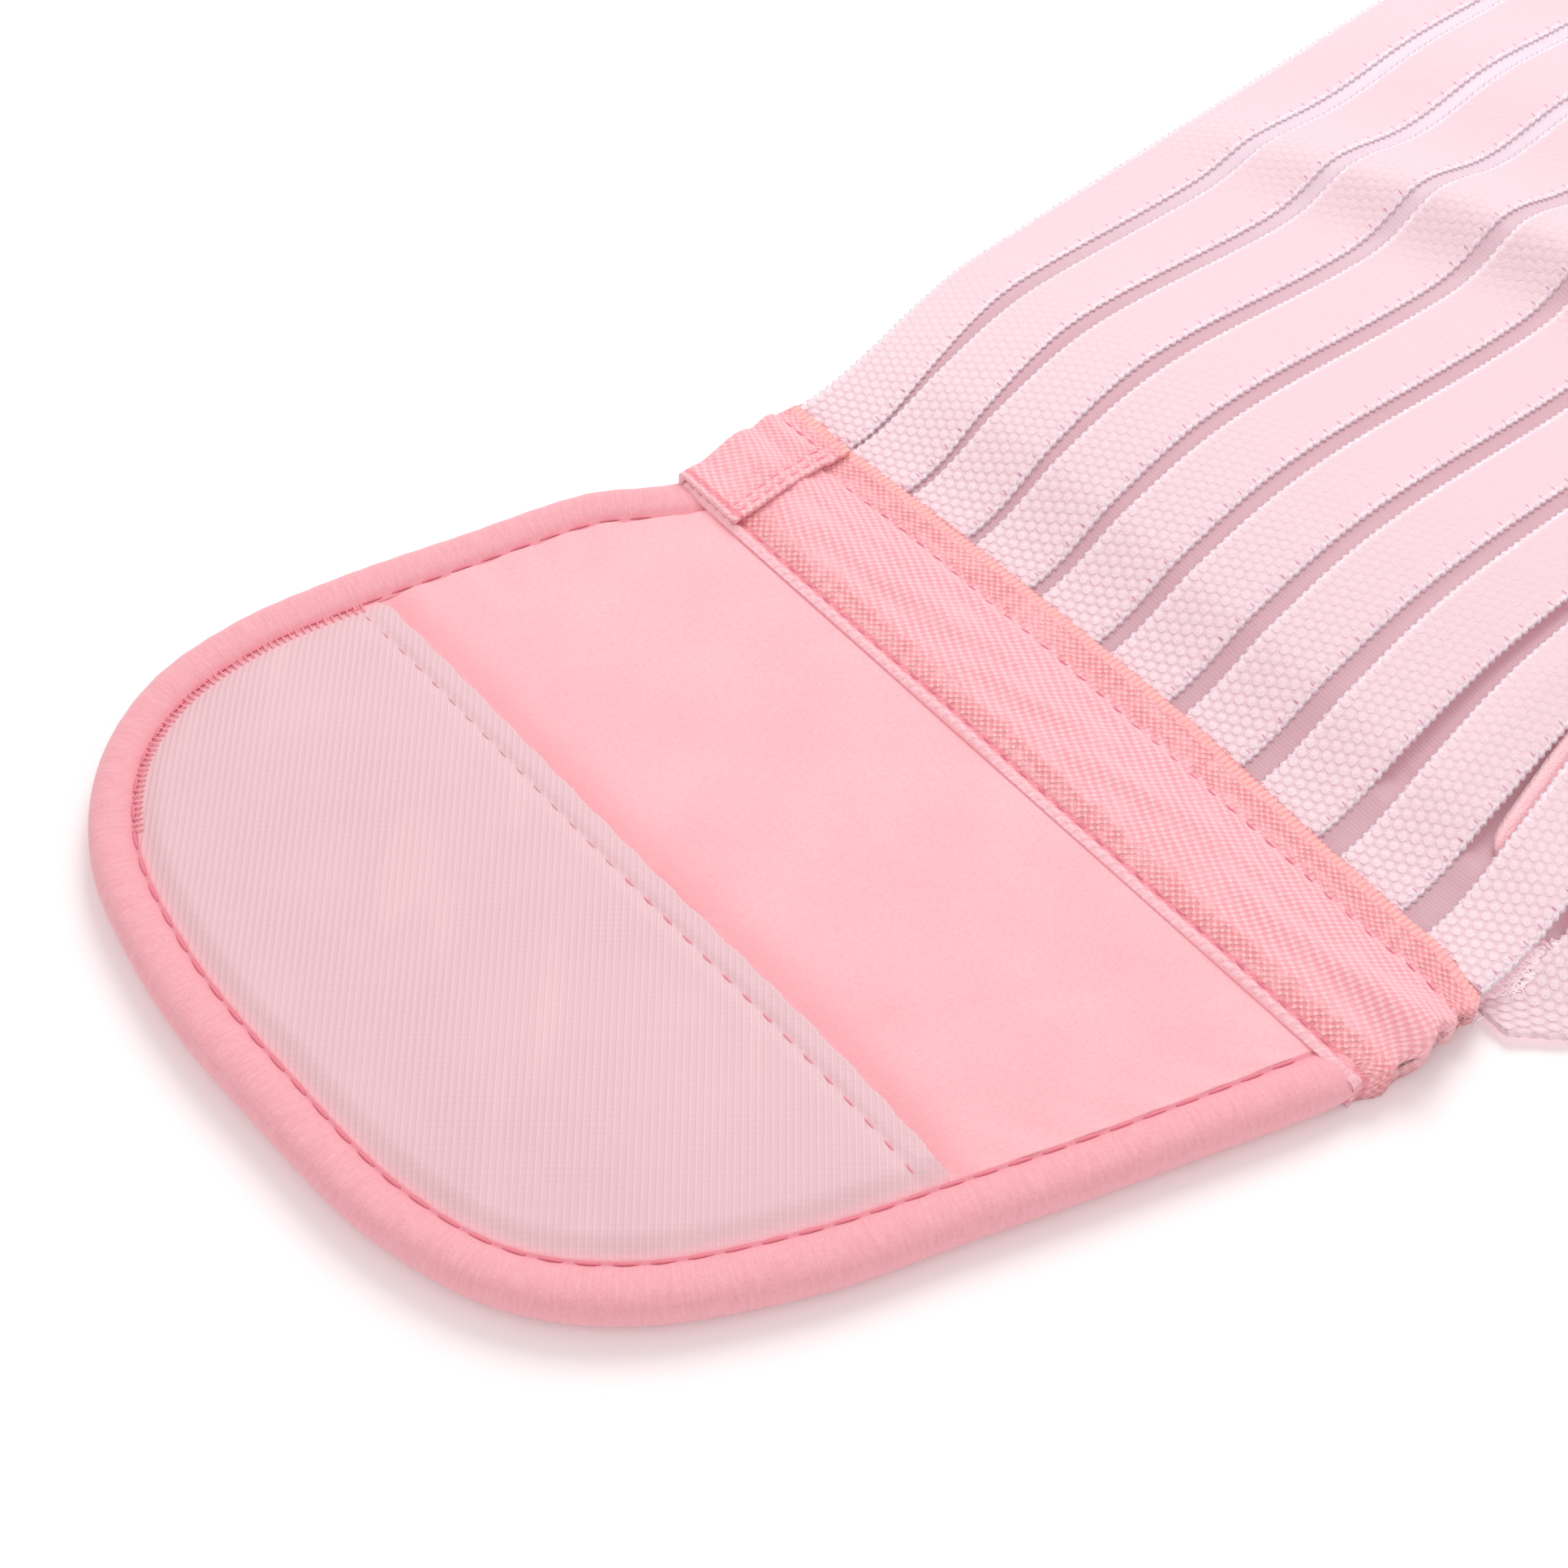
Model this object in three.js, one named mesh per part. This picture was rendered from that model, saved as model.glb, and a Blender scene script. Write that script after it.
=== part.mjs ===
// Maternity support belt lying open on a table.
// Eleven knitted elastic bands, held apart by sheer strips, run between two woven tapes.
// A padded tab with a soft rolled binding is sewn into each tape, and one tab carries a hook patch.
// Millimetres, +Z up, +X along the belt, +Y away from the viewer. The table is z = 0.

import * as THREE from "three";

// Elastic bands
const BAND_COUNT = 11;
const BAND_WIDTH = 10; // flat knitted elastic
const BAND_THICK = 1.6;
const BAND_PITCH = 13; // centre to centre
const BAND_RUN = 560; // free length between the two tapes
const BAND_SEWN = 11; // length of each band's end held inside a tape
const WEB_BOW = 5.5; // how far more than the middle band the outermost ones are drawn towards the viewer beside a tape
const WEB_SHIFT = 1; // how far all the bands are drawn there
const FAR_GATHER = 7.4; // width of the far band where a tape holds it
const NEAR_GATHER = 5; // width of the near band where a tape's corner holds it
const NEAR_SEWN = 5; // length of that band's end under the corner
const NEAR_ROLL = 0.25; // radians that the near band is turned up beside a tape
const NEAR_TUCK = 5; // how far that band is drawn in towards the tape's corner

// Sheer strips between the bands
const SHEER_THICK = 0.7;

// Woven tapes
const TAPE_WIDTH = 24;
const TAPE_SHEET = 1; // one layer of the cloth
const TAPE_HALF = 62.3; // half of the tape's own length
const TAPE_WEB_IN = 6.5; // start of the sewn middle, from the tab side
const TAPE_WEB_OUT = 9.5; // end of it
const TAPE_RIDGE = 18.5; // where the upper layer steps down to the bands
const TAPE_ARCH = 2.3; // lift of the loose lower corner
const TAPE_SLANT = 1.8; // how much shorter the tape is at its seam than at that corner
const FOLD_REACH = 10.5; // how far the tape's end is folded back over it

// Padded tabs
const TAB_DEPTH = 98; // seam to tip
const TAB_HALF = 63; // half of the tab's width where it enters the tape
const TAB_FACE = 5; // padded height
const TAB_PINCH = 0.45; // share of the height left where it is sewn into the tape
const TAB_TUCK = 5; // length inside the tape
const TAB_SEWN_HALF = 61; // half of the tab's width at its far end inside the tape
const BINDING_WIDTH = 6;
const BINDING_HEIGHT = 6;
const BINDING_WALL = 1.3;
const RIM_INSET = 2.6; // the pad's thin rim, measured in from the tab's outline

// Hook patch on the first tab
const PATCH_EDGE = 43; // straight inner edge, from the seam
const PATCH_THICK = 0.8;
const PATCH_MARGIN = 0.6; // between the patch and the binding

// Strap that shows between the lowest bands
const STRAP_WIDTH = 15;
const STRAP_THICK = 1.6;
const STRAP_LENGTH = 150;
const STRAP_START = 15; // its round end, from the tape's outer edge
const STRAP_ROW = 9.48; // where its upper edge lies, counted in bands

const CLEAR = 0.3; // between pieces that touch

// Outline of a tab from the upper end of its seam round the tip to the lower end.
// out: share of TAB_DEPTH, up: share of TAB_HALF.
const TAB_OUTLINE = [
  { out: 0.03, up: 1.03 },
  { out: 0.1, up: 1.1 },
  { out: 0.29, up: 1.19 },
  { out: 0.46, up: 1.26 },
  { out: 0.6, up: 1.3 },
  { out: 0.74, up: 1.285 },
  { out: 0.86, up: 1.19 },
  { out: 0.95, up: 1.0 },
  { out: 0.995, up: 0.7 },
  { out: 1.0, up: 0.34 },
  { out: 0.985, up: 0.0 },
  { out: 0.93, up: -0.25 },
  { out: 0.82, up: -0.44 },
  { out: 0.64, up: -0.6 },
  { out: 0.46, up: -0.71 },
  { out: 0.27, up: -0.82 },
  { out: 0.08, up: -0.92 },
  { out: 0.0, up: -0.955 },
];
const OUTLINE_STEPS = 36;

// Tape from its folded upper end to its loose lower end.
// along: share of TAPE_HALF, wide: share of TAPE_WIDTH, lift: share of TAPE_ARCH.
const TAPE_STATIONS = [
  { along: 0.985, wide: 0.9, lift: 0 },
  { along: 0.82, wide: 0.935, lift: 0 },
  { along: 0.5, wide: 0.985, lift: 0 },
  { along: 0.1, wide: 1.01, lift: 0 },
  { along: -0.2, wide: 1.015, lift: 0 },
  { along: -0.5, wide: 0.97, lift: 0 },
  { along: -0.74, wide: 0.945, lift: 0.05 },
  { along: -0.86, wide: 0.915, lift: 0.5 },
  { along: -0.94, wide: 0.88, lift: 0.9 },
  { along: -1, wide: 0.84, lift: 1 },
];

// Swells that run across the bands. at and slant: shares of BAND_RUN from the first tape and per band.
// rise and fall: shares of BAND_RUN. far, middle and near: heights as multiples of BAND_WIDTH.
const SWELLS = [
  { at: 0.06, slant: 0, rise: 0.062, fall: 0.075, far: 0.9, middle: 0.82, near: 0.3 },
  { at: 0.125, slant: 0, rise: 0.075, fall: 0.11, far: 0.0, middle: 0.2, near: 0.75 },
  { at: 0.146, slant: 0.0066, rise: 0.016, fall: 0.03, far: 0.55, middle: 0.62, near: 0.5 },
  { at: 0.215, slant: 0.004, rise: 0.03, fall: 0.035, far: 0.4, middle: 0.2, near: 0.2 },
  { at: 0.4, slant: 0.002, rise: 0.08, fall: 0.09, far: 0.36, middle: 0.3, near: 0.26 },
  { at: 0.63, slant: -0.002, rise: 0.09, fall: 0.09, far: 0.44, middle: 0.22, near: 0.3 },
  { at: 0.83, slant: 0, rise: 0.08, fall: 0.08, far: 0.4, middle: 0.34, near: 0.2 },
];
const DROOP_ROWS = 3.5; // the swells rise from the table over this many rows of the far edge
const NEAR_SHARE = 0.27; // the photographed stretch of the bands, with short sections
const NEAR_STEPS = 22;
const FAR_STEPS = 14;

const ROWS_MIDDLE = (BAND_COUNT + 1) / 2;
const SEAM_X = BAND_RUN / 2 + TAPE_WIDTH; // the first seam lies at -SEAM_X
const BAND_LEVEL = TAPE_SHEET + CLEAR + BAND_THICK / 2; // middle of a band inside a tape
const TAPE_END = TAPE_HALF * TAPE_STATIONS[0].along; // where the tape is folded

const CLOTH = { brushed: 0xf9bcc6, binding: 0xf7a6b0, canvas: 0xf79da6, elastic: 0xf7dfe6, hook: 0xeab4bd };
const colour = (hex, roughness = 0.9) => new THREE.MeshStandardMaterial({ color: hex, roughness, metalness: 0 });

const smooth = (t) => {
  const c = Math.min(1, Math.max(0, t));
  return c * c * (3 - 2 * c);
};
const mix = (a, b, t) => a + (b - a) * t;

// A closed body through rings of equal length. Each end ring is capped in one part, or in the parts that are given.
function loft(rings, flatten, capParts = [rings[0].map((_, i) => i)]) {
  const size = rings[0].length;
  const position = rings.flat().flatMap((p) => [p.x, p.y, p.z]);
  const index = [];
  for (let r = 0; r + 1 < rings.length; r++) {
    for (let i = 0; i < size; i++) {
      const j = (i + 1) % size;
      const a = r * size + i;
      const b = r * size + j;
      index.push(a, b, b + size, a, b + size, a + size);
    }
  }
  const cap = (ring, start, facing) => {
    for (const part of capParts) {
      const contour = part.map((i) => flatten(ring[i]));
      const flip = THREE.ShapeUtils.isClockWise(contour) === facing;
      for (const triangle of THREE.ShapeUtils.triangulateShape(contour, [])) {
        const [a, b, c] = triangle.map((i) => start + part[i]);
        index.push(a, ...(flip ? [c, b] : [b, c]));
      }
    }
  };
  cap(rings[0], 0, false);
  cap(rings.at(-1), (rings.length - 1) * size, true);
  const geometry = new THREE.BufferGeometry();
  geometry.setAttribute("position", new THREE.Float32BufferAttribute(position, 3));
  geometry.setIndex(index);
  if (signedVolume(geometry) < 0) geometry.setIndex(index.map((_, i) => index[i - (i % 3) + [0, 2, 1][i % 3]]));
  geometry.computeVertexNormals();
  return geometry;
}

function signedVolume(geometry) {
  const point = (i) => new THREE.Vector3().fromBufferAttribute(geometry.attributes.position, geometry.index.getX(i));
  let volume = 0;
  for (let i = 0; i < geometry.index.count; i += 3) {
    volume += point(i).dot(point(i + 1).cross(point(i + 2))) / 6;
  }
  return volume;
}

function piece(name, geometry, material) {
  const mesh = new THREE.Mesh(geometry, material);
  mesh.name = name;
  return mesh;
}

// Webbing: where the bands and the sheer strips lie.
// row is 1 for the far band and BAND_COUNT for the near one, and run is measured from the first tape's outer edge.
const fromTape = (run) => Math.max(0, Math.min(run, BAND_RUN - run));

// A column of the tape's table at a place along the belt's width.
function tapeShare(column, y) {
  const share = y / TAPE_HALF;
  const next = TAPE_STATIONS.findIndex((station) => station.along < share);
  if (next === 0) return TAPE_STATIONS[0][column];
  if (next < 0) return TAPE_STATIONS.at(-1)[column];
  const [a, b] = [TAPE_STATIONS[next - 1], TAPE_STATIONS[next]];
  return mix(a[column], b[column], (share - a.along) / (b.along - a.along));
}
const archAt = (y) => TAPE_ARCH * tapeShare("lift", y);

function rowY(run, row) {
  const rows = ROWS_MIDDLE - row;
  const bow = WEB_BOW * (rows / (ROWS_MIDDLE - 1)) ** 2;
  return rows * BAND_PITCH - (bow + WEB_SHIFT) * (1 - smooth(fromTape(run) / (BAND_WIDTH * 4)));
}

function swellHeight(swell, run, row) {
  const share = (2 * (row - 1)) / (BAND_COUNT - 1);
  const farHalf = mix(swell.far, swell.middle, smooth(share));
  const height = share < 1 ? farHalf : mix(swell.middle, swell.near, smooth(share - 1));
  const droop = Math.sin((Math.PI / 2) * Math.min(1, Math.max(0, (row - 0.5) / DROOP_ROWS)));
  const from = run - (swell.at + swell.slant * row) * BAND_RUN;
  const reach = (from < 0 ? swell.rise : swell.fall) * BAND_RUN;
  return height * droop * BAND_WIDTH * Math.exp(-1.6 * (from / reach) ** 2);
}

// Height of the middle of the webbing's thickness.
function webHeight(run, row) {
  const away = fromTape(run);
  const inTape = BAND_LEVEL + archAt(rowY(run, row));
  const swells = SWELLS.reduce((sum, swell) => sum + swellHeight(swell, run, row), 0);
  const lying = BAND_THICK / 2 + overStrap(run, row);
  return mix(inTape, lying, smooth(away / (BAND_WIDTH * 4))) + swells * smooth(away / (BAND_WIDTH * 1.6));
}

// The lowest bands lie on the strap.
function overStrap(run, row) {
  const across = smooth((row - (STRAP_ROW - 1)) / 0.5);
  const along = smooth(run / STRAP_START) * (1 - smooth((run - STRAP_START - STRAP_LENGTH) / (BAND_WIDTH * 3)));
  return (STRAP_THICK + CLEAR * 2) * across * along;
}

// Free stretch of the bands, with short sections where the swells are sharp.
function runStations() {
  const near = BAND_RUN * NEAR_SHARE;
  const runs = [];
  for (let i = 0; i < NEAR_STEPS; i++) runs.push((near * i) / NEAR_STEPS);
  for (let i = 0; i <= FAR_STEPS; i++) runs.push(mix(near, BAND_RUN, i / FAR_STEPS));
  return runs;
}

// A flat strip along the belt. place gives the point of its middle layer at a run and a distance across.
function strip(runs, halfWidth, thick, place) {
  const rings = runs.map((run) => {
    const half = halfWidth(run);
    const point = (across, up) => {
      const at = place(run, across);
      return new THREE.Vector3(run - BAND_RUN / 2, at.y, at.z + up);
    };
    return [point(-half, -thick / 2), point(half, -thick / 2), point(half, thick / 2), point(-half, thick / 2)];
  });
  return loft(rings, (p) => new THREE.Vector2(p.y, p.z));
}

// A band keeps its width where the webbing slopes, so it covers less of the table there.
function inWeb(row) {
  return (run, across) => {
    const fall = webHeight(run, row + 0.5) - webHeight(run, row - 0.5);
    return {
      y: rowY(run, row) + across * Math.cos(Math.atan2(fall, BAND_PITCH)),
      z: webHeight(run, row - across / BAND_PITCH),
    };
  };
}

// The far band's sewn ends are gathered, so that they lie inside the tape's folded end.
const farGather = (run) => 1 - smooth(1 + Math.min(run, BAND_RUN - run) / CLEAR);
const farHalf = (run) => mix(BAND_WIDTH, FAR_GATHER, farGather(run)) / 2;
function farBandPlace(run, across) {
  const drawn = (rowY(0, 1) + FAR_GATHER / 2 - (TAPE_END - CLEAR)) * farGather(run);
  return inWeb(1)(run, across - drawn);
}

// The near band starts gathered under the tape's raised corner and spreads out beside it.
const nearSpread = (run) => smooth((Math.min(run, BAND_RUN - run) + NEAR_SEWN) / (NEAR_SEWN + BAND_WIDTH * 0.4));
const nearHalf = (run) => mix(NEAR_GATHER, BAND_WIDTH, nearSpread(run)) / 2;
function nearBandPlace(run, across) {
  const away = Math.min(run, BAND_RUN - run);
  const roll = NEAR_ROLL * smooth(away / (BAND_WIDTH * 0.9)) * (1 - 0.75 * smooth(away / (BAND_WIDTH * 6)));
  const tuck = NEAR_TUCK * (1 - smooth(away / (BAND_WIDTH * 4))) + NEAR_TUCK * (1 - nearSpread(run));
  const level = mix(BAND_THICK / 2, webHeight(run, BAND_COUNT), smooth(away / (BAND_WIDTH * 3)));
  return {
    y: rowY(run, BAND_COUNT) + tuck + across * Math.cos(roll),
    z: Math.max(level, BAND_THICK / 2 + (BAND_WIDTH / 2) * Math.sin(roll)) + across * Math.sin(roll),
  };
}

function bands() {
  const made = [];
  for (let row = 1; row <= BAND_COUNT; row++) {
    const [place, half, sewn] =
      row === BAND_COUNT
        ? [nearBandPlace, nearHalf, [NEAR_SEWN, NEAR_SEWN / 2]]
        : row === 1
          ? [farBandPlace, farHalf, [BAND_SEWN, CLEAR]]
          : [inWeb(row), () => BAND_WIDTH / 2, [BAND_SEWN]];
    const runs = [...sewn.map((run) => -run), ...runStations(), ...sewn.toReversed().map((run) => BAND_RUN + run)];
    made.push(piece(`band_${row}`, strip(runs, half, BAND_THICK, place), colour(CLOTH.elastic)));
  }
  return made;
}

// A sheer strip fills what its two bands leave free. The last one starts beyond the turn of the nearest band.
function sheerStrips() {
  const made = [];
  for (let row = 1; row < BAND_COUNT; row++) {
    const middle = (run) => (rowY(run, row) + rowY(run, row + 1)) / 2;
    const half = (run) => (rowY(run, row) - rowY(run, row + 1) - BAND_WIDTH) / 2 - CLEAR;
    const beside = (tapeShare("wide", middle(0)) - 1) * TAPE_WIDTH + CLEAR;
    const last = row === BAND_COUNT - 1;
    const inner = runStations().filter((run) => fromTape(run) > (last ? BAND_WIDTH * 4 : 0));
    const runs = last ? inner : [beside, ...inner.filter((run) => fromTape(run) > beside), BAND_RUN - beside];
    const place = (run, across) => ({
      y: middle(run) + across,
      z: webHeight(run, row + 0.5 - across / BAND_PITCH),
    });
    made.push(piece(`sheer_strip_${row}`, strip(runs, half, SHEER_THICK, place), colour(CLOTH.hook, 0.5)));
  }
  return made;
}

// The strap is round at its free end. Its upper edge lies against the webbing and its lower edge on the table.
function underStrap() {
  const half = STRAP_WIDTH / 2;
  const end = STRAP_START + STRAP_LENGTH;
  const runs = [0.02, 0.08, 0.2, 0.4, 0.7, 1].map((share) => STRAP_START + half * share);
  for (let run = STRAP_START + half + BAND_WIDTH; run < end; run += BAND_WIDTH) runs.push(run);
  runs.push(end);
  const halfWidth = (run) => half * Math.sqrt(1 - Math.max(0, 1 - (run - STRAP_START) / half) ** 2);
  const drop = BAND_THICK / 2 + STRAP_THICK / 2 + CLEAR * 2;
  const place = (run, across) => ({
    y: rowY(run, STRAP_ROW) - half + across,
    z: mix(STRAP_THICK / 2, Math.max(STRAP_THICK / 2, webHeight(run, STRAP_ROW) - drop), (across + half) / STRAP_WIDTH),
  });
  return piece("under_strap", strip(runs, halfWidth, STRAP_THICK, place), colour(CLOTH.brushed));
}

// Tab outline as points with unit normals that face out. inner is where the tape hides it.
function tabOutline() {
  const curve = new THREE.CatmullRomCurve3(
    TAB_OUTLINE.map((p) => new THREE.Vector3(-p.out * TAB_DEPTH, p.up * TAB_HALF, 0)),
    false,
    "centripetal",
  );
  const points = curve.getSpacedPoints(OUTLINE_STEPS);
  const far = [TAB_TUCK, 0].map((x) => new THREE.Vector3(x, TAB_SEWN_HALF, 0));
  const all = [...far, ...points, new THREE.Vector3(TAB_TUCK, points.at(-1).y, 0)];
  return all.map((point, i) => {
    const before = all[Math.max(0, i - 1)];
    const after = all[Math.min(all.length - 1, i + 1)];
    const along = after.clone().sub(before).normalize();
    return { point, normal: new THREE.Vector3(along.y, -along.x, 0) };
  });
}

// The padding is pinched and lifted where it enters the tape, and level beyond.
function pinch(x, z) {
  const before = x + BINDING_WIDTH / 2;
  const near = smooth(1 + before / (BINDING_WIDTH * 1.6));
  const lift = (TAPE_SHEET + CLEAR) * smooth(1 + before / BINDING_WIDTH);
  return z * mix(1, TAB_PINCH, near) + lift;
}

function inset(station, distance, z) {
  const p = station.point.clone().addScaledVector(station.normal, -distance);
  return new THREE.Vector3(p.x, p.y, pinch(p.x, z));
}

function tabPad(name, outline) {
  const shoulder = BINDING_WIDTH + CLEAR;
  const low = BINDING_WALL + CLEAR;
  const high = BINDING_HEIGHT - BINDING_WALL - CLEAR;
  const profile = [
    { in: shoulder, z: 0 },
    { in: shoulder, z: low },
    { in: RIM_INSET, z: low },
    { in: RIM_INSET, z: high },
    { in: shoulder, z: high },
    { in: shoulder, z: TAB_FACE },
  ];
  const rings = profile.map((row) => outline.map((station) => inset(station, row.in, row.z)));
  const all = outline.map((_, i) => i);
  const level = all.filter((i) => inset(outline[i], shoulder, 0).z === 0);
  const seamSide = all.filter((i) => i <= level[0] || i >= level.at(-1));
  return piece(name, loft(rings, (p) => new THREE.Vector2(p.x, p.y), [level, seamSide]), colour(CLOTH.brushed));
}

// The binding is a soft roll: a C whose mouth holds the pad's rim.
function tabBinding(name, outline) {
  const mouth = RIM_INSET - CLEAR;
  const section = [
    { in: BINDING_WIDTH, z: 0 },
    { in: BINDING_WIDTH, z: BINDING_WALL },
    { in: mouth, z: BINDING_WALL },
    { in: mouth, z: BINDING_HEIGHT - BINDING_WALL },
    { in: BINDING_WIDTH, z: BINDING_HEIGHT - BINDING_WALL },
    { in: BINDING_WIDTH, z: BINDING_HEIGHT * 0.88 },
    { in: BINDING_WIDTH * 0.5, z: BINDING_HEIGHT },
    { in: BINDING_WIDTH * 0.12, z: BINDING_HEIGHT * 0.8 },
    { in: 0, z: BINDING_HEIGHT * 0.45 },
    { in: BINDING_WIDTH * 0.2, z: 0 },
  ];
  const rings = outline.map((station) => section.map((row) => inset(station, row.in, row.z)));
  return piece(name, loft(rings, (p) => new THREE.Vector2(p.y, p.z)), colour(CLOTH.binding));
}

// The patch covers the tab's outer part: inside the binding, and cut off straight at its inner edge.
function hookPatch(outline) {
  const line = outline.map((station) => inset(station, BINDING_WIDTH + PATCH_MARGIN, 0));
  const ring = [];
  line.forEach((point, i) => {
    const before = line[Math.max(0, i - 1)];
    if ((before.x + PATCH_EDGE) * (point.x + PATCH_EDGE) < 0) {
      ring.push(before.clone().lerp(point, (-PATCH_EDGE - before.x) / (point.x - before.x)));
    }
    if (point.x < -PATCH_EDGE) ring.push(point);
  });
  const low = TAB_FACE + CLEAR;
  const rings = [low, low + PATCH_THICK].map((z) => ring.map((p) => new THREE.Vector3(p.x, p.y, z)));
  return piece("hook_patch", loft(rings, (p) => new THREE.Vector2(p.x, p.y)), colour(CLOTH.hook, 0.4));
}

// Upper surface of the tape across its width, before the lift of its lower corner.
const tabSlot = TAPE_SHEET + CLEAR + BINDING_HEIGHT * TAB_PINCH + CLEAR;
const bandSlot = BAND_LEVEL + BAND_THICK / 2 + CLEAR;
const TAPE_TOP = [
  { across: TAPE_WIDTH, under: bandSlot },
  { across: TAPE_RIDGE + 1.5, under: mix(bandSlot, tabSlot, 0.45) },
  { across: TAPE_RIDGE, under: mix(bandSlot, tabSlot, 0.8) },
  { across: TAPE_WEB_OUT, under: tabSlot },
];
const tapeLift = (x, y) => archAt(y) * smooth((x - TAPE_WEB_IN) / (TAPE_WEB_OUT - TAPE_WEB_IN + 1));

function tape(name) {
  const section = [
    { x: 0, z: 0 },
    { x: TAPE_WEB_IN, z: 0 },
    { x: TAPE_WEB_OUT, z: 0 },
    { x: TAPE_WIDTH, z: 0 },
    { x: TAPE_WIDTH, z: TAPE_SHEET },
    { x: TAPE_WEB_OUT, z: TAPE_SHEET },
    ...TAPE_TOP.toReversed().map((row) => ({ x: row.across, z: row.under })),
    ...TAPE_TOP.map((row) => ({ x: row.across, z: row.under + TAPE_SHEET })),
    { x: TAPE_SHEET, z: tabSlot + TAPE_SHEET },
    { x: 0, z: tabSlot + TAPE_SHEET * 0.7 },
    { x: 0, z: tabSlot },
    { x: TAPE_WEB_IN, z: tabSlot },
    { x: TAPE_WEB_IN, z: TAPE_SHEET },
    { x: 0, z: TAPE_SHEET },
  ];
  const rings = TAPE_STATIONS.map(({ along, wide }) => {
    const y = along * TAPE_HALF;
    const cut = along === -1 ? TAPE_SLANT : 0;
    return section.map((p) => {
      const shorter = cut * (1 - smooth(p.x / TAPE_WEB_OUT));
      return new THREE.Vector3(spread(p.x, wide), y + shorter, p.z + tapeLift(p.x, y));
    });
  });
  return piece(name, loft(rings, (p) => new THREE.Vector2(p.x, p.z)), colour(CLOTH.canvas));
}

// Only the band side of a tape grows wider and narrower along its length.
const spread = (x, wide) => x + TAPE_WIDTH * (wide - 1) * smooth((x - TAPE_WEB_OUT) / (TAPE_WIDTH - TAPE_WEB_OUT));

// The tape's upper end, folded back over it and turned down at the edge.
function tapeFold(name) {
  const top = [{ across: TAPE_SHEET, under: tabSlot }, ...TAPE_TOP.toReversed()].map((row) => ({
    x: row.across - (row.across === TAPE_WIDTH ? TAPE_SHEET / 2 : 0),
    z: row.under + TAPE_SHEET + CLEAR,
  }));
  const edge = TAPE_END + CLEAR;
  const rings = top.map(({ x, z }) =>
    [
      [TAPE_END - FOLD_REACH, z],
      [TAPE_END - FOLD_REACH, z + TAPE_SHEET],
      [edge + TAPE_SHEET * 0.4, z + TAPE_SHEET],
      [edge + TAPE_SHEET, z],
      [edge + TAPE_SHEET, 0],
      [edge, 0],
      [edge, z],
    ].map(([y, height]) => new THREE.Vector3(spread(x, TAPE_STATIONS[0].wide), y, height)),
  );
  return piece(name, loft(rings, (p) => new THREE.Vector2(p.y, p.z)), colour(CLOTH.canvas));
}

// One end of the belt, with its seam at x = 0 and its tip towards -X.
function beltEnd(prefix, outline) {
  const group = new THREE.Group();
  group.add(
    tabPad(`${prefix}_pad`, outline),
    tabBinding(`${prefix}_binding`, outline),
    tape(`${prefix}_tape`),
    tapeFold(`${prefix}_tape_fold`),
  );
  return group;
}

const belt = new THREE.Group();
belt.name = "maternity_support_belt";
const outline = tabOutline();

const hookEnd = beltEnd("hook_end", outline);
hookEnd.add(hookPatch(outline));
hookEnd.position.x = -SEAM_X;

const plainEnd = beltEnd("plain_end", outline);
plainEnd.position.x = SEAM_X;
plainEnd.scale.x = -1;

belt.add(hookEnd, plainEnd, ...bands(), ...sheerStrips(), underStrap());

// The origin is the bottom centre of the whole belt.
const box = new THREE.Box3().setFromObject(belt);
belt.position.set(-(box.min.x + box.max.x) / 2, -(box.min.y + box.max.y) / 2, -box.min.z);

export default belt;
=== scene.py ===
# Maternity support belt lying open: knitted bands, sheer strips, woven tapes and padded tabs.
# Lengths are millimetres from the first seam, and turn to metres of the shared frame where a mesh is made.
import math

import bmesh
import bpy
import numpy as np
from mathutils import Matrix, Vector


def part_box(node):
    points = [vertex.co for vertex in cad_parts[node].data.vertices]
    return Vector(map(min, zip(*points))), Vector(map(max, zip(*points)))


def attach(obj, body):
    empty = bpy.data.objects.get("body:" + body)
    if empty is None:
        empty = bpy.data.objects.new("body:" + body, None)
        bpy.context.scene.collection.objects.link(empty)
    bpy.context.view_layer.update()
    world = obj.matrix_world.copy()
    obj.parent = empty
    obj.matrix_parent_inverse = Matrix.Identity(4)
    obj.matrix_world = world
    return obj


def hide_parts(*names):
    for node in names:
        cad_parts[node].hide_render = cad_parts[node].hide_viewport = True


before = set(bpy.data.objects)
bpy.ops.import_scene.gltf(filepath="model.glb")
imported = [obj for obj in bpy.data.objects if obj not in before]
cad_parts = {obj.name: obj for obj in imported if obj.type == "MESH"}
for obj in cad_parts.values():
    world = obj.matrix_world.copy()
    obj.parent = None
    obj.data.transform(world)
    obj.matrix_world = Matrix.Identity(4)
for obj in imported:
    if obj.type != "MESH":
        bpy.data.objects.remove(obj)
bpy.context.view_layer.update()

MM = 0.001

# Sizes of the solids. NEAR_TUCK, STRAP_START and TAB_SHOWN_PINCH follow the photo instead
BAND_COUNT = 11
BAND_WIDTH = 10.0
BAND_THICK = 1.6
BAND_PITCH = 13.0
BAND_RUN = 560.0
WEB_BOW = 5.5
WEB_SHIFT = 1.0
NEAR_GATHER = 5.0
NEAR_SEWN = 5.0
NEAR_ROLL = 0.25
NEAR_TUCK = 4.0
TAPE_WIDTH = 24.0
TAPE_SHEET = 1.0
TAPE_HALF = 62.3
TAPE_END = TAPE_HALF * 0.985
TAPE_WEB_IN = 6.5
TAPE_WEB_OUT = 9.5
TAPE_RIDGE = 18.5
TAPE_ARCH = 2.3
TAPE_SLANT = 1.8
FOLD_REACH = 10.5
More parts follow.
